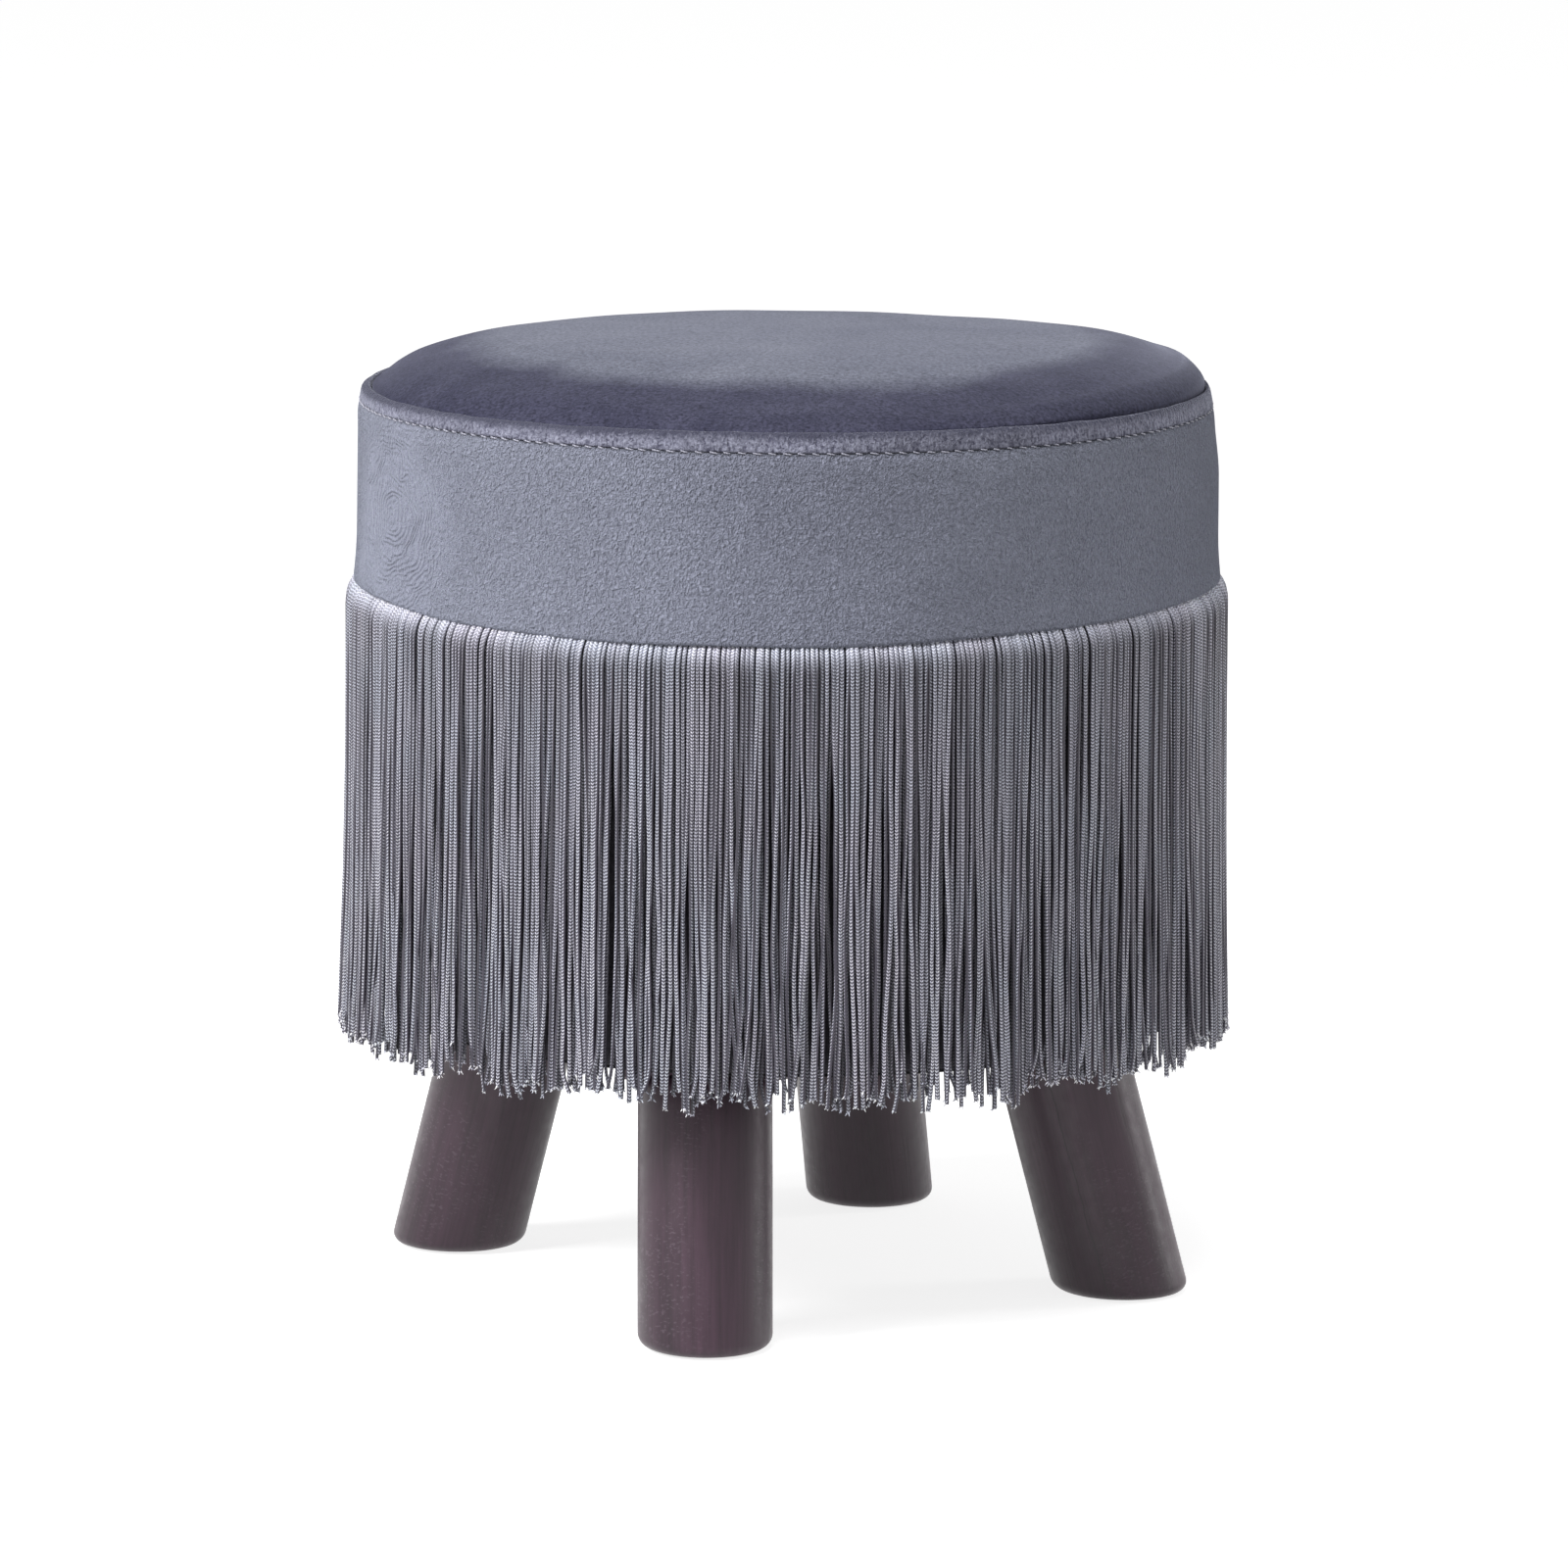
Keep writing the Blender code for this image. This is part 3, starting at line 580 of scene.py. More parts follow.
def woven(name, light, dark, pitch, roughness):
    """A plain weave, with slubs and uneven tone."""
    s = Surface(name, Sheen_Weight=0.25, Specular_IOR_Level=0.2)
    ribs = []
    for part in s.parts():
        turn = s.product(part, math.pi / pitch)
        ribs.append(s.math("ABSOLUTE", s.math("SINE", turn)))
    weave = s.product(s.total(ribs[0], ribs[1]), 0.5)
    weave = s.product(s.total(weave, ribs[2]), 0.5)
    slub = s.noise(420.0, 3.0, 0.6)
    tone = s.ramp(s.product(weave, s.ramp(slub, 0.3, 0.7, 0.7, 1.2)), 0.1, 0.9)
    s.bump(weave, 0.5, 0.0004)
    return s.finish(s.mix(tone, dark, light), s.ramp(slub, 0.3, 0.7, roughness, roughness - 0.12))


def stained_wood(name, crack):
    """Dark stained hardwood under a satin lacquer, with its grain along the leg."""
    s = Surface(name, Specular_IOR_Level=0.36, Coat_Weight=0.22, Coat_Roughness=0.34)
    s.place = s.kept("wood", "Vector")
    grain = s.noise(520.0, 3.0, 0.6, 0.3, stretch=(1.0, 1.0, 0.045))
    figure = s.noise(60.0, 3.0, 0.55, 0.6, stretch=(1.0, 1.0, 0.16))
    flecks = s.noise(1100.0, 1.0, 0.5, stretch=(0.5, 0.5, 1.0))
    zone = s.ramp(s.noise(34.0, 1.0, stretch=(1.0, 1.0, 0.4)), 0.50, 0.62)
    flecks = s.product(s.ramp(flecks, 0.58, 0.70), zone)
    colour = s.mix(s.ramp(figure, 0.3, 0.7), (0.025, 0.011, 0.020), (0.050, 0.025, 0.040))
    colour = s.shaded(colour, grain, 0.3, 0.7, 0.70, 1.28)
    colour = s.mix(s.product(flecks, 0.32), colour, (0.15, 0.11, 0.14))
    pores = s.ramp(grain, 0.28, 0.40, 1.0, 0.0)
    height = s.total(s.weigh(grain, 0.25, pores, -0.25), s.product(flecks, 0.2))
    if crack:
        x, y, z = s.parts()
        wander = s.noise(45.0, 3.0, 0.6, stretch=(0.0, 0.0, 1.0))
        line = s.total(s.product(z, -1.2), -1.60)
        line = s.total(line, s.ramp(wander, 0.2, 0.8, -0.05, 0.05))
        gap = s.math("ABSOLUTE", s.math("SUBTRACT", s.math("ARCTAN2", y, x), line))
        gap = s.ramp(gap, 0.004, 0.013, 1.0, 0.0)
        colour = s.mix(s.product(gap, 0.75), colour, (0.008, 0.006, 0.008))
        height = s.math("SUBTRACT", height, gap)
    s.bump(height, 0.35, 0.0004)
    return s.finish(colour, s.ramp(s.noise(240.0, 2.0), 0.3, 0.7, 0.36, 0.50))


def plain_wood(name, light, dark, along=(1.0, 1.0, 0.05)):
    """Bare or stained softwood, with its grain along one axis."""
    s = Surface(name, Specular_IOR_Level=0.35)
    grain = s.noise(380.0, 4.0, 0.6, 0.4, stretch=along)
    rings = s.noise(70.0, 2.0, 0.5, 0.8, stretch=along)
    tone = s.ramp(s.weigh(grain, 0.5, rings, 0.5), 0.32, 0.66)
    s.bump(grain, 0.3, 0.0004)
    return s.finish(s.mix(tone, dark, light), s.ramp(grain, 0.3, 0.7, 0.72, 0.55))


def plywood(name):
    """Thin plies one over another, light and dark, with grain on the faces."""
    s = Surface(name, Specular_IOR_Level=0.3)
    ply = s.math("PINGPONG", s.product(s.parts()[2], 460.0), 1.0)
    grain = s.noise(330.0, 4.0, 0.6, 0.3, stretch=(0.06, 1.0, 1.0))
    colour = s.mix(s.ramp(ply, 0.35, 0.65), (0.50, 0.36, 0.22), (0.62, 0.47, 0.31))
    colour = s.shaded(colour, grain, 0.3, 0.7, 0.75, 1.12)
    s.bump(grain, 0.3, 0.0003)
    return s.finish(colour, s.ramp(grain, 0.3, 0.7, 0.78, 0.6))


def pressed_fibre(name, light, dark, scale, rough):
    """Hardboard or felt: fibres that lie all ways, in uneven patches."""
    s = Surface(name, Specular_IOR_Level=0.3)
    fibres = s.noise(scale, 4.0, 0.7, 1.5)
    patches = s.noise(scale * 0.08, 2.0)
    tone = s.ramp(s.weigh(fibres, 0.7, patches, 0.3), 0.35, 0.65)
    s.bump(fibres, 0.5, 0.0004)
    return s.finish(s.mix(tone, dark, light), s.ramp(fibres, 0.3, 0.7, rough, rough - 0.1))


def open_foam(name):
    """Yellowish foam with open cells."""
    s = Surface(name, Specular_IOR_Level=0.2)
    cells = s.node("TexVoronoi", {"Vector": s.place, "Scale": 900.0}).outputs["Distance"]
    patches = s.noise(25.0, 2.0)
    colour = s.mix(s.ramp(cells, 0.0, 0.6), (0.52, 0.48, 0.33), (0.78, 0.74, 0.55))
    colour = s.shaded(colour, patches, 0.3, 0.7, 0.9, 1.05)
    s.bump(cells, 0.6, 0.0005)
    return s.finish(colour, s.ramp(patches, 0.3, 0.7, 0.95, 0.85))


def metal(name, light, dark, rough):
    """Plated metal with fine lines from drawing and dulled spots."""
    s = Surface(name, Metallic=1.0)
    lines = s.noise(1500.0, 2.0, 0.6, stretch=(1.0, 1.0, 0.08))
    spots = s.noise(180.0, 3.0, 0.6)
    s.bump(lines, 0.2, 0.0001)
    colour = s.mix(s.ramp(spots, 0.35, 0.7), light, dark)
    return s.finish(colour, s.ramp(spots, 0.3, 0.7, rough, rough + 0.2))


# ---------------- seat and band


def crown(radius):
    """The seat's face, nearly flat in the middle and rolled down to the ridge."""
    ratio = np.minimum(radius / CROWN_EDGE, 1.0)
    return RIDGE_HEIGHT + CROWN_RISE * (1 - ratio**CROWN_POWER)


def crown_line(edge, count, rise, drop, power=1.5):
    """Points of a section under the seat's face, from the axis to an edge. The face is read a
    little further out, and they lie lower by the drop."""
    points = []
    for number in range(count):
        radius = edge * (1 - (1 - number / (count - 1)) ** power)
        points.append((radius, float(crown(radius + rise)) - drop))
    return points


def band_face(height):
    """The band's outer face: pulled in at the stitching and flared a little at its lower edge."""
    flare = np.maximum(0.0, 1 - (height - BAND_BOTTOM) / 0.020)
    draw = np.maximum(0.0, 1 - (STITCH_HEIGHT - height) / 0.007)
    lean = (STITCH_HEIGHT - height) / 0.068
    return BAND_RADIUS + 0.0011 * flare**2 - 0.0008 * draw**2 + 0.0006 * lean


def band_line(heights, inset=0.0):
    """Points of a section inside the band's outer face."""
    return [(float(band_face(height)) - inset, float(height)) for height in heights]


def edge_tilt(theta, radius):
    """How much higher the seat's edge is on its plump side than all round."""
    return EDGE_TILT * np.cos(theta - PLUMP_SIDE) * step_between(radius, 0.1380, 0.1515)


def drawn_in(theta, height):
    """How far the ridge and the top of the band are pulled in on the plump side."""
    return DRAWN_IN * near_side(theta, PLUMP_SIDE) * step_between(height, 0.3000, BAND_TOP)


def hem_lift(theta):
    """How much higher the band's lower edge is at the stool's two sides than in front."""
    right = near_side(theta, VIEW_TURN) ** 0.6
    left = near_side(theta, VIEW_TURN + math.pi) ** 2
    return HEM_RIGHT * right + HEM_LEFT * left


def make_top(material):
    """The velvet panel over the seat's padding, closed underneath."""
    slow = plane_waves(seed=3, count=10, low=10.0, high=34.0, strength=0.00045)
    fine = plane_waves(seed=5, count=16, low=60.0, high=160.0, strength=0.00010)

    def shape(theta, radius, height):
        x, y = radius * np.cos(theta), radius * np.sin(theta)
        lift = (slow(x, y) + fine(x, y)) * step_between(CROWN_EDGE - radius, 0.0, 0.02)
        shoulder = np.exp(-(((radius - SHOULDER_RADIUS) / SHOULDER_WIDTH) ** 2))
        shoulder = shoulder * np.sqrt(np.clip((CROWN_EDGE - radius) / SHOULDER_EDGE, 0.0, 1.0))
        right, left = near_side(theta, PLUMP_SIDE), near_side(theta, PLUMP_SIDE + math.pi)
        lift = lift + shoulder * (SHOULDER_RIGHT * right + SHOULDER_LEFT * left)
        return radius, height + lift + edge_tilt(theta, radius)

    outer = crown_line(CROWN_EDGE, 72, 0.0, 0.0)
    rim = [(0.0, 0.0012), (0.0003, 0.0002), (0.0012, 0.0)]
    rim = [(CROWN_EDGE - inset, CROWN_LOW + rise) for inset, rise in rim]
    inner = crown_line(CROWN_EDGE - VELVET, 40, 0.0003, VELVET + 0.0004, power=1)[::-1]
    top = turned("seat_top_panel", outer + rim + inner, 288, material, shape, poles=True)
    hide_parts("velvet_top")


def make_foam(material):
    """The crowned foam pad under the top panel."""

    def shape(theta, radius, height):
        return radius, height + edge_tilt(theta, radius) * step_between(height, 0.3262, 0.3300)

    outer = crown_line(FOAM_EDGE, 40, 0.0012, VELVET + 0.0012)
    corner = 0.1493
    side = [(0.1507, 0.3255), (0.1508, 0.3200), (0.1505, FOAM_LOW + 0.0012), (corner, FOAM_LOW)]
    under = [(corner * (1 - number / 12), FOAM_LOW) for number in range(1, 13)]
    foam = turned("seat_foam", outer + side + under, 144, material, shape, poles=True)
    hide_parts("foam_pad")


def make_ridge(material):
    """The folded seam round the top, puckered where each stitch pulls it in."""
    lumps = waves(seed=21, count=14, turns=(18, 60), along=80.0, strength=0.00012)
    slow = waves(seed=22, count=6, turns=(2, 9), along=0.0, strength=0.00010)

    def shape(theta, radius, height):
        outside = step_between(radius, 0.1535, 0.1558)
        pucker = PUCKER * np.cos(STITCH_COUNT * theta) * step_between(height, 0.3292, 0.3264)
        high = step_between(height, 0.3300, 0.3318)
        radius = radius + outside * (lumps(theta, height) + slow(theta, height) + pucker)
        uneven = slow(theta + 1.0, radius) + 0.8 * lumps(theta + 2.0, radius)
        radius = radius - drawn_in(theta, BAND_TOP) * np.clip((radius - 0.1523) / 0.0039, 0.0, 1.0)
        return radius, height + high * (uneven + np.minimum(edge_tilt(theta, radius), 0.0))

    section = [
        (0.15235, 0.33165), (0.1526, 0.33215), (0.1530, 0.3325), (0.1535, 0.3327), (0.1541, 0.3326),
        (0.1547, 0.3322), (0.1553, 0.3316), (0.1558, 0.3308), (0.1562, 0.3298), (0.15645, 0.3287),
        (0.1566, 0.3277), (0.15672, 0.3268), (0.15672, 0.3261), (0.15655, 0.32563), (0.1550, 0.3256),
        (0.1538, 0.3256), (0.1527, 0.3258), (0.1523, 0.3266), (0.1523, 0.3290),
    ]
    ridge = turned("seat_ridge", section, 768, material, shape)
    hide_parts("ridge_seam")


def make_band(material):
    """The velvet side band: its upper edge turned in at the stitching, its lower edge hemmed."""
    slow = waves(seed=31, count=12, turns=(2, 12), along=55.0, strength=0.00026)
    puckers = waves(seed=32, count=10, turns=(22, 60), along=160.0, strength=0.00008)

    def shape(theta, radius, height):
        free = step_between(height, 0.3235, 0.3140)
        near = step_between(height, 0.3185, BAND_TOP)
        move = slow(theta, height) * free + puckers(theta, height) * (1 - free) * 0.8
        move = move + PUCKER * np.cos(STITCH_COUNT * theta) * near
        sag = slow(theta + 2.1, radius) * step_between(height, 0.2610, BAND_BOTTOM)
        lift = hem_lift(theta) * step_between(height, 0.2900, 0.2600)
        return radius + move - drawn_in(theta, height), height + sag + lift

    outer = band_line(np.linspace(BAND_BOTTOM + 0.0012, 0.3244, 44))
    top = [(0.15670, 0.3250), (0.15655, 0.32536), (0.1548, 0.3253), (0.1538, 0.3251), (0.1536, 0.3244)]
    inner = band_line(np.linspace(0.3232, BAND_BOTTOM + 0.0050, 30), VELVET)
    edge = float(band_face(BAND_BOTTOM))
    hem = [(0.0016, 0.0030), (0.0017, 0.0012), (0.0014, 0.0003), (0.0008, 0.0), (0.0002, 0.0003)]
    hem = [(edge - inset, BAND_BOTTOM + rise) for inset, rise in hem]
    band = turned("side_band", outer + top + inner + hem, 768, material, shape)
    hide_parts("velvet_band")
    return band


def make_band_foam(material):
    """The thin foam round the drum, behind the band."""

    def shape(theta, radius, height):
        return radius - drawn_in(theta, height) * (radius > DRUM_RADIUS), height

    heights = np.linspace(0.2692, BAND_TOP, 14)
    section = band_line(heights, VELVET + 0.0010) + wall(DRUM_RADIUS, heights[::-1])
    foam = turned("side_foam", section, 192, material, shape)
    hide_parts("band_foam")


def make_stitching(material):
    """The row of stitches under the ridge. Each one lies on the seam and dips in at its ends."""
    chance = random.Random(41)
    stitches = Bundle()
    pitch = 2 * math.pi / STITCH_COUNT
    span = np.array([0.0, 0.06, 0.14, 0.3, 0.5, 0.7, 0.86, 0.94, 1.0])
    dip = np.array([-0.0009, -0.0005, -0.00015, 0.0, 0.00005, 0.0, -0.00015, -0.0005, -0.0009])
    thick = STITCH_THICK * np.array([0.7, 0.9, 1, 1, 1, 1, 1, 0.9, 0.7])
    for number in range(STITCH_COUNT):
        length = chance.uniform(0.50, 0.74)
        start = number * pitch + chance.uniform(-0.03, 0.03) * pitch
        angle = start + span * length * pitch
        tilt = 0.00030 + chance.uniform(-0.0001, 0.0001)
        height = STITCH_HEIGHT + tilt * (1 - 2 * span) + chance.uniform(-0.0001, 0.0001)
        radius = STITCH_RADIUS + dip + chance.uniform(-0.00020, 0.0001)
        line = round_axis(angle, radius - drawn_in(angle, STITCH_HEIGHT), height)
        stitches.add(*level_tube(line, span * length * pitch * 0.1556, thick))
    stitching = stitches.piece("seat_stitching", material)
    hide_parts("topstitch_thread")
    return stitching


# ---------------- fringe


def cord_line(angle, inset, tip, chance):
    """The middle line of one cord, from inside its tape to its tip."""
    part = CORD_PARTS
    bottom = BAND_BOTTOM + hem_lift(angle)
    root = bottom + CORD_ROOT
    height = root + (tip - root) * part
    fall = (bottom - height) / CORD_ROLL
    roll = np.clip(fall, 0.0, 1.0)
    hang = CORD_HANG - inset
    under = CORD_START - 0.6 * inset
    radius = hang - (hang - under) * (1 - roll) ** 2.8 + np.minimum(fall, 0.0) * 0.0035
    loose = np.clip((part - 0.10) / 0.90, 0.0, 1.0)
    swing = chance.gauss(0.0, 0.0012) * loose**1.3
    for number, reach in CORD_WAVES:
        wave = chance.gauss(0.0, reach) * np.sin(number * 3.3 * part + chance.uniform(0, 6.28))
        swing = swing + wave * loose**0.7
    bulge = chance.gauss(0.0, 0.00040) * np.sin(3.1 * part + chance.uniform(0, 6.28)) * loose
    bulge = bulge + CORD_BULGE * part**2 + chance.uniform(0.0, 0.0008) * part**3
    near_tip = np.clip((part - 0.93) / 0.07, 0.0, 1.0) ** 2
    if chance.random() < 0.45:  # a tip that turns aside
        swing = swing + chance.gauss(0.0, 0.0016) * near_tip
        bulge = bulge + chance.uniform(-0.0010, 0.0006) * near_tip
    if chance.random() < 0.035:  # a cord that strays
        swing = swing + chance.choice((-1, 1)) * chance.uniform(0.004, 0.009) * loose**3
        bulge = bulge + 0.0008 * loose
    return round_axis(angle + swing / CORD_HANG, radius + bulge, height)


def make_fray(tip, chance):
    """A loose fibre at the cut end of a cord."""
    out = np.array([tip[0], tip[1], 0.0]) / math.hypot(tip[0], tip[1])
    side = np.array([-out[1], out[0], 0.0])
    turn = chance.uniform(0.0, 2 * math.pi)
    away = math.cos(turn) * side + math.sin(turn) * out
    lean = chance.uniform(0.1, 0.9)
    reach = chance.uniform(0.0005, 0.0014)
    direction = np.array([0.0, 0.0, -1.0]) + lean * away
    start = tip + away * 0.0004 + np.array([0.0, 0.0, 0.0005])
    end = start + direction * reach + away * reach * 0.2
    line = np.stack([start, start + direction * reach * 0.5, end])
    thick = np.array([0.00026, 0.00022, 0.00012])
    points, faces, corners = flat_tube(line, np.zeros(3), np.zeros(3), thick, thick, 4)
    return points, faces, np.full(corners.shape, FRAY_STITCH)


def tip_height(angle, chance, slow):
    """The height of a cord's tip, uneven from cord to cord and along the fringe."""
    height = TIP_HEIGHT + float(slow(angle, 0.0))
    return height + min(0.0085, max(-0.0060, chance.gauss(0.0, TIP_SPREAD)))


def add_cord(cords, angle, layer, tip, chance):
    """One cord of a row, with the loose fibres at its tip."""
    _, inset, sides, dark = CORD_ROWS[layer]
    line = cord_line(angle, inset + chance.uniform(-0.0004, 0.0009), tip, chance)
    size = chance.uniform(0.90, 1.08)
    ends = np.ones(len(line))
    ends[-3:] = (1.0, 1.08, 0.90)
    base = chance.gauss(0.0, 0.55)
    turn = base + chance.gauss(0.0, 1.0) * CORD_PARTS + 0.3 * np.sin(9 * CORD_PARTS + 6 * base)
    along = np.concatenate([[0.0], np.cumsum(np.linalg.norm(np.diff(line, axis=0), axis=1))])
    along = along + chance.uniform(0.0, 0.01)
    wide, thin = CORD_WIDE * size * ends, CORD_THIN * size * ends
    # painted highlight on the cord's roll just under the band, in its shade and in its loops
    below = np.maximum(BAND_BOTTOM + hem_lift(angle) - line[:, 2], 0.0)
    lit = np.exp(-((below / CORD_LIT) ** 2))
    # each cord's own random tone, times the row's painted shade, painted light that grows towards the tips,
    # and the painted highlight on the roll
    shade = dark * chance.uniform(0.74, 1.08) * (0.89 + 0.42 * CORD_PARTS) * (1 + 0.20 * lit)
    shade = np.repeat(np.minimum(shade, SHADE_LIMIT), sides)
    drawn = np.repeat(lit * (1 - layer), sides)
    cords.add(*flat_tube(line, turn, along, wide, thin, sides), shade=shade, drawn=drawn)
    for _ in range(FRAYS):
        cords.add(*make_fray(line[-1], chance), shade=dark * FRAY_SHADE, drawn=0.0)


def make_fringe(cord_material, tape_material):
    """The fringe's two rows of cords, in sectors, and the tape that they hang from."""
    slow = waves(seed=51, count=8, turns=(5, 34), along=0.0, strength=0.0022)
    made = []
    sector = 2 * math.pi / SECTORS
    for number in range(SECTORS):
        chance = random.Random(60 + number)
        cords = Bundle()
        for layer, (count, *_) in enumerate(CORD_ROWS):
            for index in range(count):
                angle = sector * (number + (index + 0.5 + chance.uniform(-0.15, 0.15)) / count)
                tip = tip_height(angle, chance, slow) + layer * chance.uniform(-0.002, 0.003)
                add_cord(cords, angle, layer, tip, chance)
        cords_piece = cords.piece(f"fringe_cords_{number + 1:02d}", cord_material)
        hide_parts(f"fringe_{number + 1:02d}")
        made.append(cords_piece)

    def shape(theta, radius, height):
        return radius, height + hem_lift(theta) * (TAPE_HIGH - height) / (TAPE_HIGH - TAPE_LOW)

    heights = np.linspace(TAPE_LOW, TAPE_HIGH, 6)
    face = VELVET + 0.0004
    section = band_line(heights, face) + band_line(heights[::-1], face + TAPE_THICK)
    tape = turned("fringe_tape", section, 192, tape_material, shape)
    made.append(tape)
    return made


# ---------------- drum


def make_lining(material):
    """The dark cloth round the drum, behind the fringe."""
    slow = waves(seed=71, count=8, turns=(3, 12), along=40.0, strength=0.00012)

    def shape(theta, radius, height):
        return radius + slow(theta, height), height

    heights = np.linspace(0.1046, 0.2655, 22)
    section = wall(0.15095, heights) + wall(0.1500, heights[::-1])
    lining = turned("drum_lining", section, 288, material, shape)
    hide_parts("lining_sleeve")


def block_hole(side, height):
    """The middle and the outline of the hole for a splay block in the level under cover."""
    place, splay = leg_frame(side)
    axis = place.to_3x3().col[2]
    outwards = Vector((-axis.x, -axis.y)).normalized()
    across = Vector((-outwards.y, outwards.x))
    middle = place.translation.xy + axis.xy * (height / axis.z)
    ring = []
    for t in steps_round(48):
        long = BLOCK_HOLE / math.cos(splay) * math.cos(t)
        spot = middle + outwards * long + across * (BLOCK_HOLE * math.sin(t))
        ring.append((spot.x, spot.y))
    return middle, ring


def make_cover(material):
    """The thin dark cloth under the base board, with a round hole for each splay block. It is
    pulled up at its edge and sags a little between the legs."""
    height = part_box("dust_cover")[0].z
    holes, loops = [], [[(COVER_RADIUS * math.cos(t), COVER_RADIUS * math.sin(t)) for t in steps_round(144)]]
    for side in SIDES:
        middle, ring = block_hole(side, height)
        holes.append(middle)
        loops.append(ring)

    def to_hole(x, y):
        return min(math.hypot(x - hole.x, y - hole.y) for hole in holes)

    spots, edges = [], []
    for loop in loops:
        first = len(spots)
        spots += loop
        edges += [(first + k, first + (k + 1) % len(loop)) for k in range(len(loop))]
    for row in range(-36, 37):
        for column in range(-36, 37):
            x, y = (column + 0.5 * (row % 2)) * COVER_PITCH, row * COVER_PITCH * 0.866
            clear = to_hole(x, y) > BLOCK_HOLE + 0.0036
            if clear and math.hypot(x, y) < COVER_RADIUS - 0.0030:
                spots.append((x, y))
    result = delaunay_2d_cdt([Vector(spot) for spot in spots], edges, [], 0, 1e-7)
    flat = [(spot.x, spot.y) for spot in result[0]]
    faces = []
    for face in result[2]:
        x, y = (sum(flat[k][axis] for k in face) / 3 for axis in (0, 1))
        if to_hole(x, y) > BLOCK_HOLE:
            faces.append(tuple(face))
    wave = waves(seed=91, count=10, turns=(2, 14), along=60.0, strength=0.00022)
    lower = []
    for x, y in flat:
        radius, angle = math.hypot(x, y), math.atan2(y, x)
        from_edge = float(step_between(COVER_RADIUS - radius, 0.003, 0.045))
        from_hole = float(step_between(to_hole(x, y) - BLOCK_HOLE, 0.0, 0.030))
        sag = from_edge * from_hole * (COVER_SAG + float(wave(angle, radius)))
        lower.append((x, y, height + 0.0001 - sag))
    upper = [(x, y, z + COVER_THICK) for x, y, z in lower]
    count = len(flat)
    solid = [face[::-1] for face in faces] + [tuple(k + count for k in face) for face in faces]
    sides = dict.fromkeys(pair for face in faces for pair in zip(face, face[1:] + face[:1]))
    for start, end in sides:
        if (end, start) not in sides:
            solid.append((start, end, end + count, start + count))
    cover = piece("under_cover", lower + upper, solid, material)
    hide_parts("dust_cover")
    return holes, height


def make_staples(material, holes, height):
    """Wire staples near the edge of the under cover, left out where a block is."""
    chance = random.Random(95)
    staples = Bundle()
    rise = np.array([0.0011, 0.0003, 0.0, 0.0, 0.0, 0.0003, 0.0011]) - 0.0004
    for number in range(STAPLE_COUNT):
        angle = 2 * math.pi * (number + chance.uniform(-0.12, 0.12)) / STAPLE_COUNT
        radius = COVER_RADIUS - STAPLE_INSET + chance.uniform(-0.0008, 0.0008)
        spot = Vector((radius * math.cos(angle), radius * math.sin(angle)))
        if min((spot - hole).length for hole in holes) < BLOCK_HOLE + 0.006:
            continue
        theta = angle + np.array([-1.0, -1.0, -0.93, 0.0, 0.93, 1.0, 1.0]) * (STAPLE_HALF / radius)
        skew = chance.uniform(-0.0010, 0.0010) * np.linspace(-1.0, 1.0, 7)
        line = round_axis(theta, radius + skew, height + rise)
        staples.add(*level_tube(line, np.linspace(0.0, 0.01, 7), np.full(7, STAPLE_THICK)))
    staples.piece("cover_staples", material)


# ---------------- legs


def leg_frame(side):
    """The leg's own frame: its origin on the floor, +Z up its axis and +X outwards."""
    low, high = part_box(f"felt_glide_{side}")
    foot = Vector(((low.x + high.x) / 2, (low.y + high.y) / 2, 0.0))
    low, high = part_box(f"hanger_bolt_{side}")
    axis = ((low + high) / 2 - foot).normalized()
    splay = math.acos(axis.z)
    outwards = Vector((-axis.x, -axis.y, 0.0)).normalized()
    local_x = outwards * math.cos(splay) + Vector((0.0, 0.0, math.sin(splay)))
    local_y = axis.cross(local_x)
    turn = Matrix((local_x, local_y, axis)).transposed().to_4x4()
    return Matrix.Translation(foot) @ turn, splay


def make_leg(side, material):
    """A turned leg with rounded edges, cut level with the floor, hollow for its glide and bolt."""
    place, splay = leg_frame(side)
    low, high, inner = LEG_LIFT + LEG_EDGE, LEG_TOP - LEG_EDGE, LEG_RADIUS - LEG_EDGE

    def shape(theta, radius, height):
        square = np.where(radius > BOLT_RADIUS, np.clip((height - low) / (high - low), 0.0, 1.0), 1.0)
        slant = np.minimum(height, low) * (1 / math.cos(splay) - 1)
        slant = slant - radius * np.cos(theta) * math.tan(splay)
        return radius, height + slant * (1 - square)

    corner = [math.pi / 2 * number / 7 for number in range(8)]
    profile = [(GLIDE_RADIUS * number / 3, GLIDE_TOP) for number in range(4)] + [(GLIDE_RADIUS, LEG_LIFT)]
    profile += [(inner + LEG_EDGE * math.sin(t), low - LEG_EDGE * math.cos(t)) for t in corner]
    profile += [(LEG_RADIUS, low + (high - low) * number / 15) for number in range(1, 15)]
    profile += [(inner + LEG_EDGE * math.cos(t), high + LEG_EDGE * math.sin(t)) for t in corner]
    bolt_end = LEG_TOP - BOLT_DEPTH
    profile += [(BOLT_RADIUS, LEG_TOP), (BOLT_RADIUS, bolt_end), (0.0, bolt_end)]
    points, faces = turned_mesh(profile, LEG_SIDES, shape, poles=True)
    placed = [tuple(place @ Vector(point)) for point in points]
    leg = piece(f"wood_leg_{side}", placed, faces, material, vectors={"wood": points})
    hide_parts(f"leg_{side}")


# ---------------- build


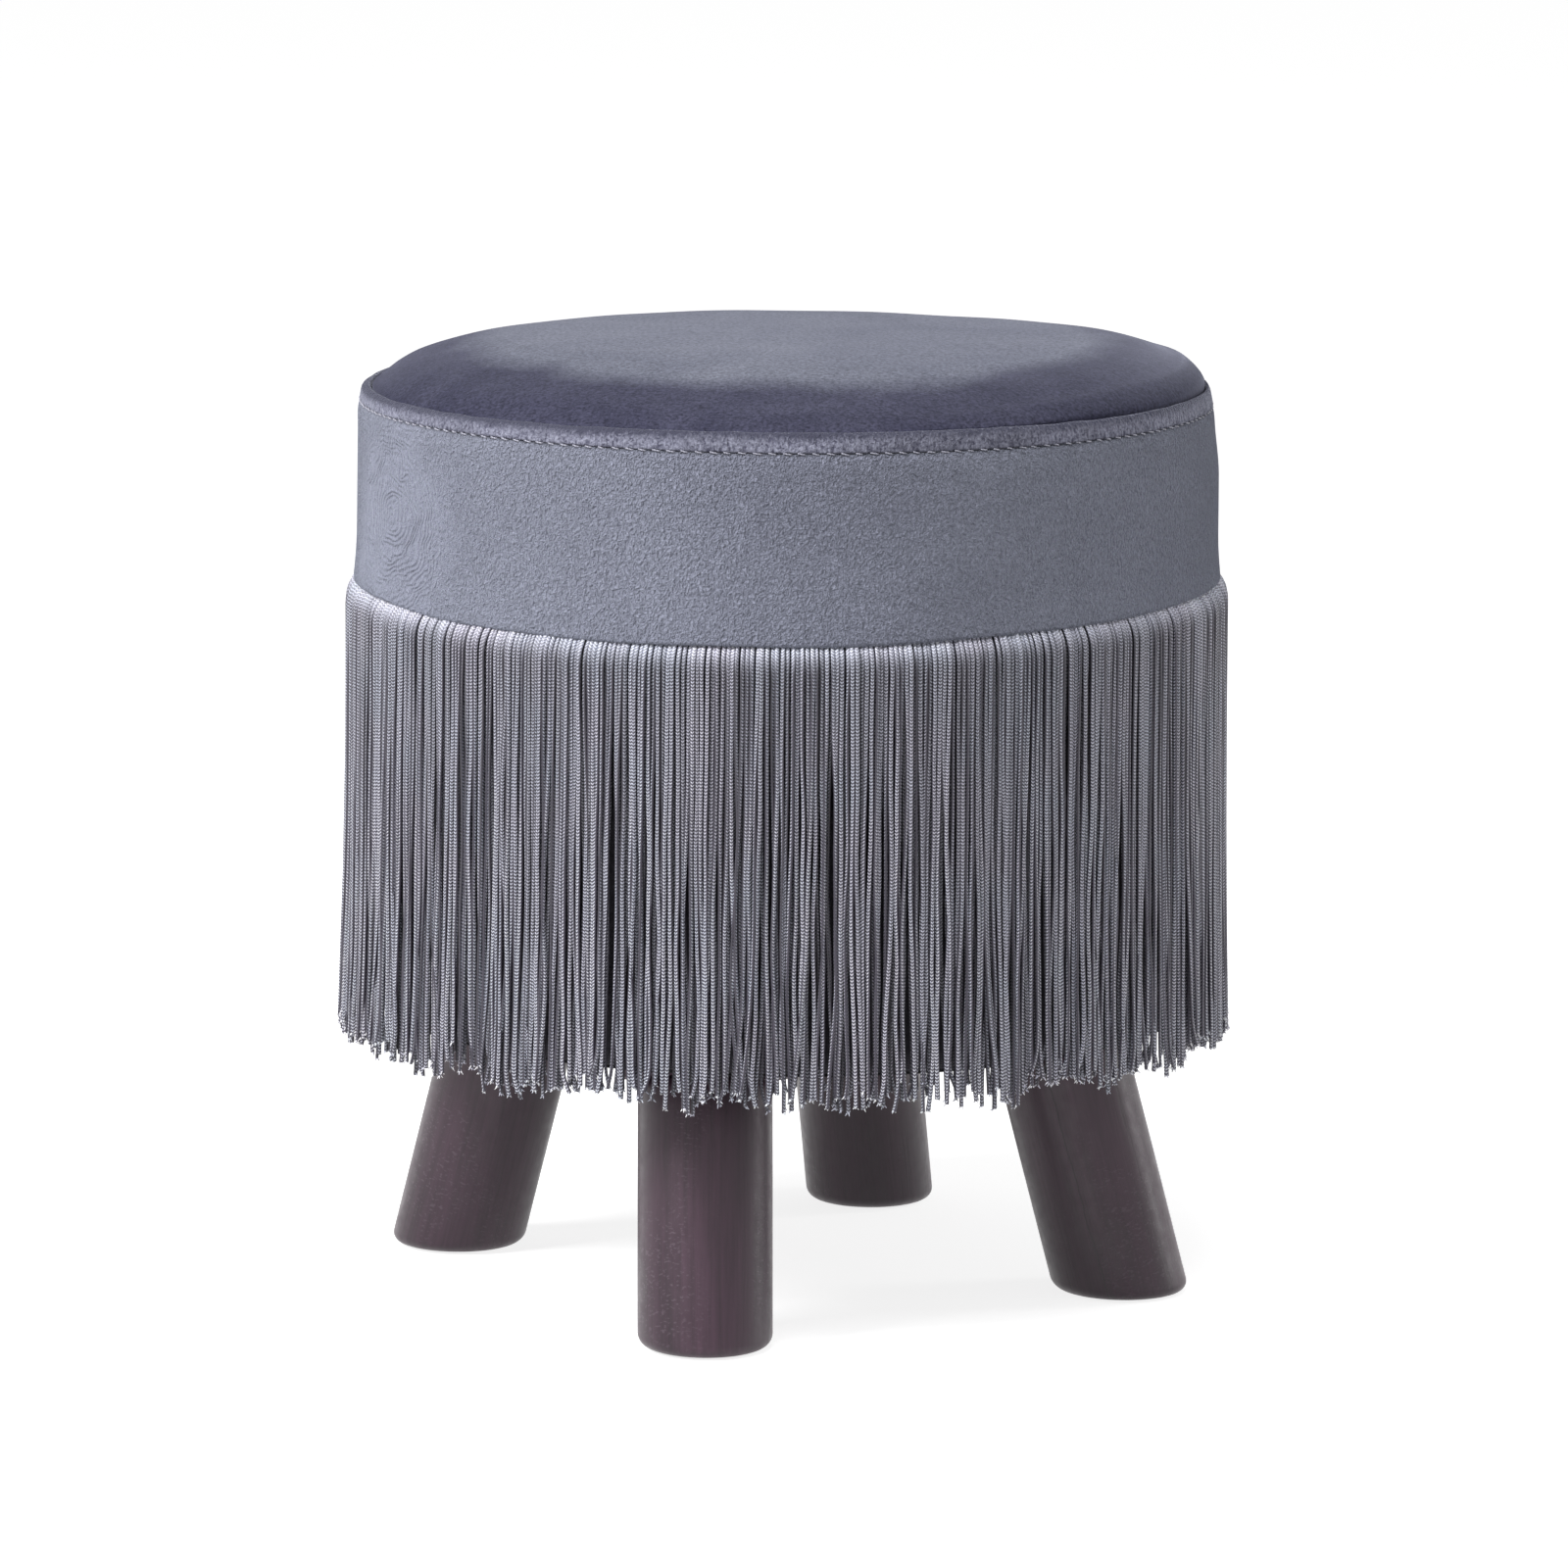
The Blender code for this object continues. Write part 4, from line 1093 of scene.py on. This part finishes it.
band_look = band_velvet("band velvet")
ridge_look = ridge_velvet("ridge velvet")
tape_look = woven("woven tape", (0.30, 0.29, 0.33), (0.12, 0.115, 0.14), 0.0009, 0.85)
thread_look = thread("sewing thread", (0.44, 0.44, 0.52), (0.23, 0.23, 0.29))
lining_look = woven("lining cloth", (0.050, 0.047, 0.060), (0.018, 0.016, 0.022), 0.0006, 0.92)
cover_look = woven("dust cover cloth", (0.040, 0.038, 0.044), (0.012, 0.011, 0.013), 0.0011, 0.95)
foam_look = open_foam("open foam")
steel_look = metal("zinc steel", (0.62, 0.63, 0.65), (0.42, 0.42, 0.43), 0.30)
brass_look = metal("brass", (0.72, 0.53, 0.24), (0.48, 0.34, 0.14), 0.28)
# Dark wood for the splay blocks
block_colours = (0.050, 0.024, 0.042), (0.024, 0.010, 0.019)
block_look = plain_wood("dark block wood", *block_colours, along=(1.0, 0.08, 1.0))
post_look = plain_wood("post wood", (0.60, 0.46, 0.30), (0.44, 0.31, 0.18))
board_look = plywood("plywood boards")
wall_look = pressed_fibre("hardboard wall", (0.34, 0.22, 0.13), (0.20, 0.12, 0.065), 700.0, 0.75)
felt_look = pressed_fibre("felt glide", (0.075, 0.068, 0.075), (0.030, 0.026, 0.030), 1100.0, 0.98)

make_top(seat_velvet("seat velvet"))
make_foam(foam_look)
make_ridge(ridge_look)
band = make_band(band_look)
make_band_foam(foam_look)
stitching = make_stitching(thread_look)
fringe = make_fringe(knitted_cord("chain knitted cord"), tape_look)
make_lining(lining_look)
block_holes, cover_height = make_cover(cover_look)
make_staples(steel_look, block_holes, cover_height)
for side in SIDES:
    make_leg(side, stained_wood(f"stained wood {side}", crack=side == "right"))

# The CAD solids' own materials, by how their names start. The dressed ones don't show.
looks = {
    ("top_board", "base_board"): board_look,
    "drum_wall": wall_look,
    "post_": post_look,
    "splay_block": block_look,
    "insert_nut": brass_look,
    ("hanger_bolt", "block_screw"): steel_look,
    ("felt_glide", "leg_"): felt_look,
    ("foam_pad", "band_foam"): foam_look,
    "velvet": band_look,
    "ridge": ridge_look,
    "topstitch": thread_look,
    "lining": lining_look,
    "dust_cover": cover_look,
    "fringe": tape_look,
}
for name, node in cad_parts.items():
    look = next(value for starts, value in looks.items() if name.startswith(starts))
    node.data.materials.clear()
    node.data.materials.append(look)


# ---------------- floor, light and camera


def make_floor():
    """A wide floor that looks white and keeps the stool's shadow."""
    mesh = bpy.data.meshes.new("floor")
    rework(mesh, lambda bm: bmesh.ops.create_grid(bm, x_segments=24, y_segments=24, size=14.0))
    floor = add_object("floor", mesh)
    s = Surface("white studio floor", Specular_IOR_Level=0.0, Emission_Color=(1.0, 1.0, 1.0, 1.0))
    s.feed(s.shader.inputs["Emission Strength"], s.product(s.seen(), 0.82))
    floor.data.materials.append(s.finish((0.64, 0.64, 0.64, 1.0), 0.9))


def make_world():
    """A world that looks white and lights the stool softly."""
    world = bpy.data.worlds.new("studio")
    bpy.context.scene.world = world
    world.use_nodes = True
    w = Nodes(world.node_tree)
    background = w.tree.nodes["Background"]
    w.feed(background.inputs["Color"], (1.0, 1.0, 1.0, 1.0))
    w.feed(background.inputs["Strength"], w.ramp(w.seen(), 0.0, 1.0, 0.245, 1.0))


def towards(angle, rise):
    """A direction, from its angle round the stool and its rise above the floor plane."""
    return Vector((math.cos(angle) * math.cos(rise), math.sin(angle) * math.cos(rise), math.sin(rise)))


def make_lamp(name, turn, rise, distance, size, power):
    """A soft box that faces the seat. Its turn is from the camera's side, to the right if positive."""
    data = bpy.data.lights.new(name, "AREA")
    data.shape = "RECTANGLE"
    data.size, data.size_y = size
    data.energy = power
    lamp = add_object(name, data)
    direction = towards(FRONT + math.radians(turn), math.radians(rise))
    lamp.location = Vector((0.0, 0.0, 0.2)) + direction * distance
    lamp.rotation_euler = direction.to_track_quat("Z", "Y").to_euler()


def make_camera():
    """The photograph's camera."""
    data = bpy.data.cameras.new("camera")
    data.lens = VIEW_LENS
    data.sensor_fit = "HORIZONTAL"
    data.sensor_width = 36.0
    data.clip_end = 60.0
    camera = add_object("camera", data)
    direction = towards(FRONT, VIEW_RISE)
    turn = direction.to_track_quat("Z", "Y").to_matrix() @ Matrix.Rotation(VIEW_ROLL, 3, "Z")
    camera.matrix_world = Matrix.Translation(VIEW_TARGET + direction * VIEW_DISTANCE) @ turn.to_4x4()
    bpy.context.scene.camera = camera


make_floor()
make_world()
make_lamp("key light", turn=-61.0, rise=38.0, distance=2.6, size=(1.0, 1.0), power=62.0)
make_lamp("rim light", turn=104.0, rise=14.0, distance=2.4, size=(0.5, 1.6), power=11.0)
make_lamp("top light", turn=-12.0, rise=60.0, distance=2.4, size=(1.3, 0.8), power=26.5)
make_camera()
bpy.context.scene.view_settings.view_transform = "Standard"
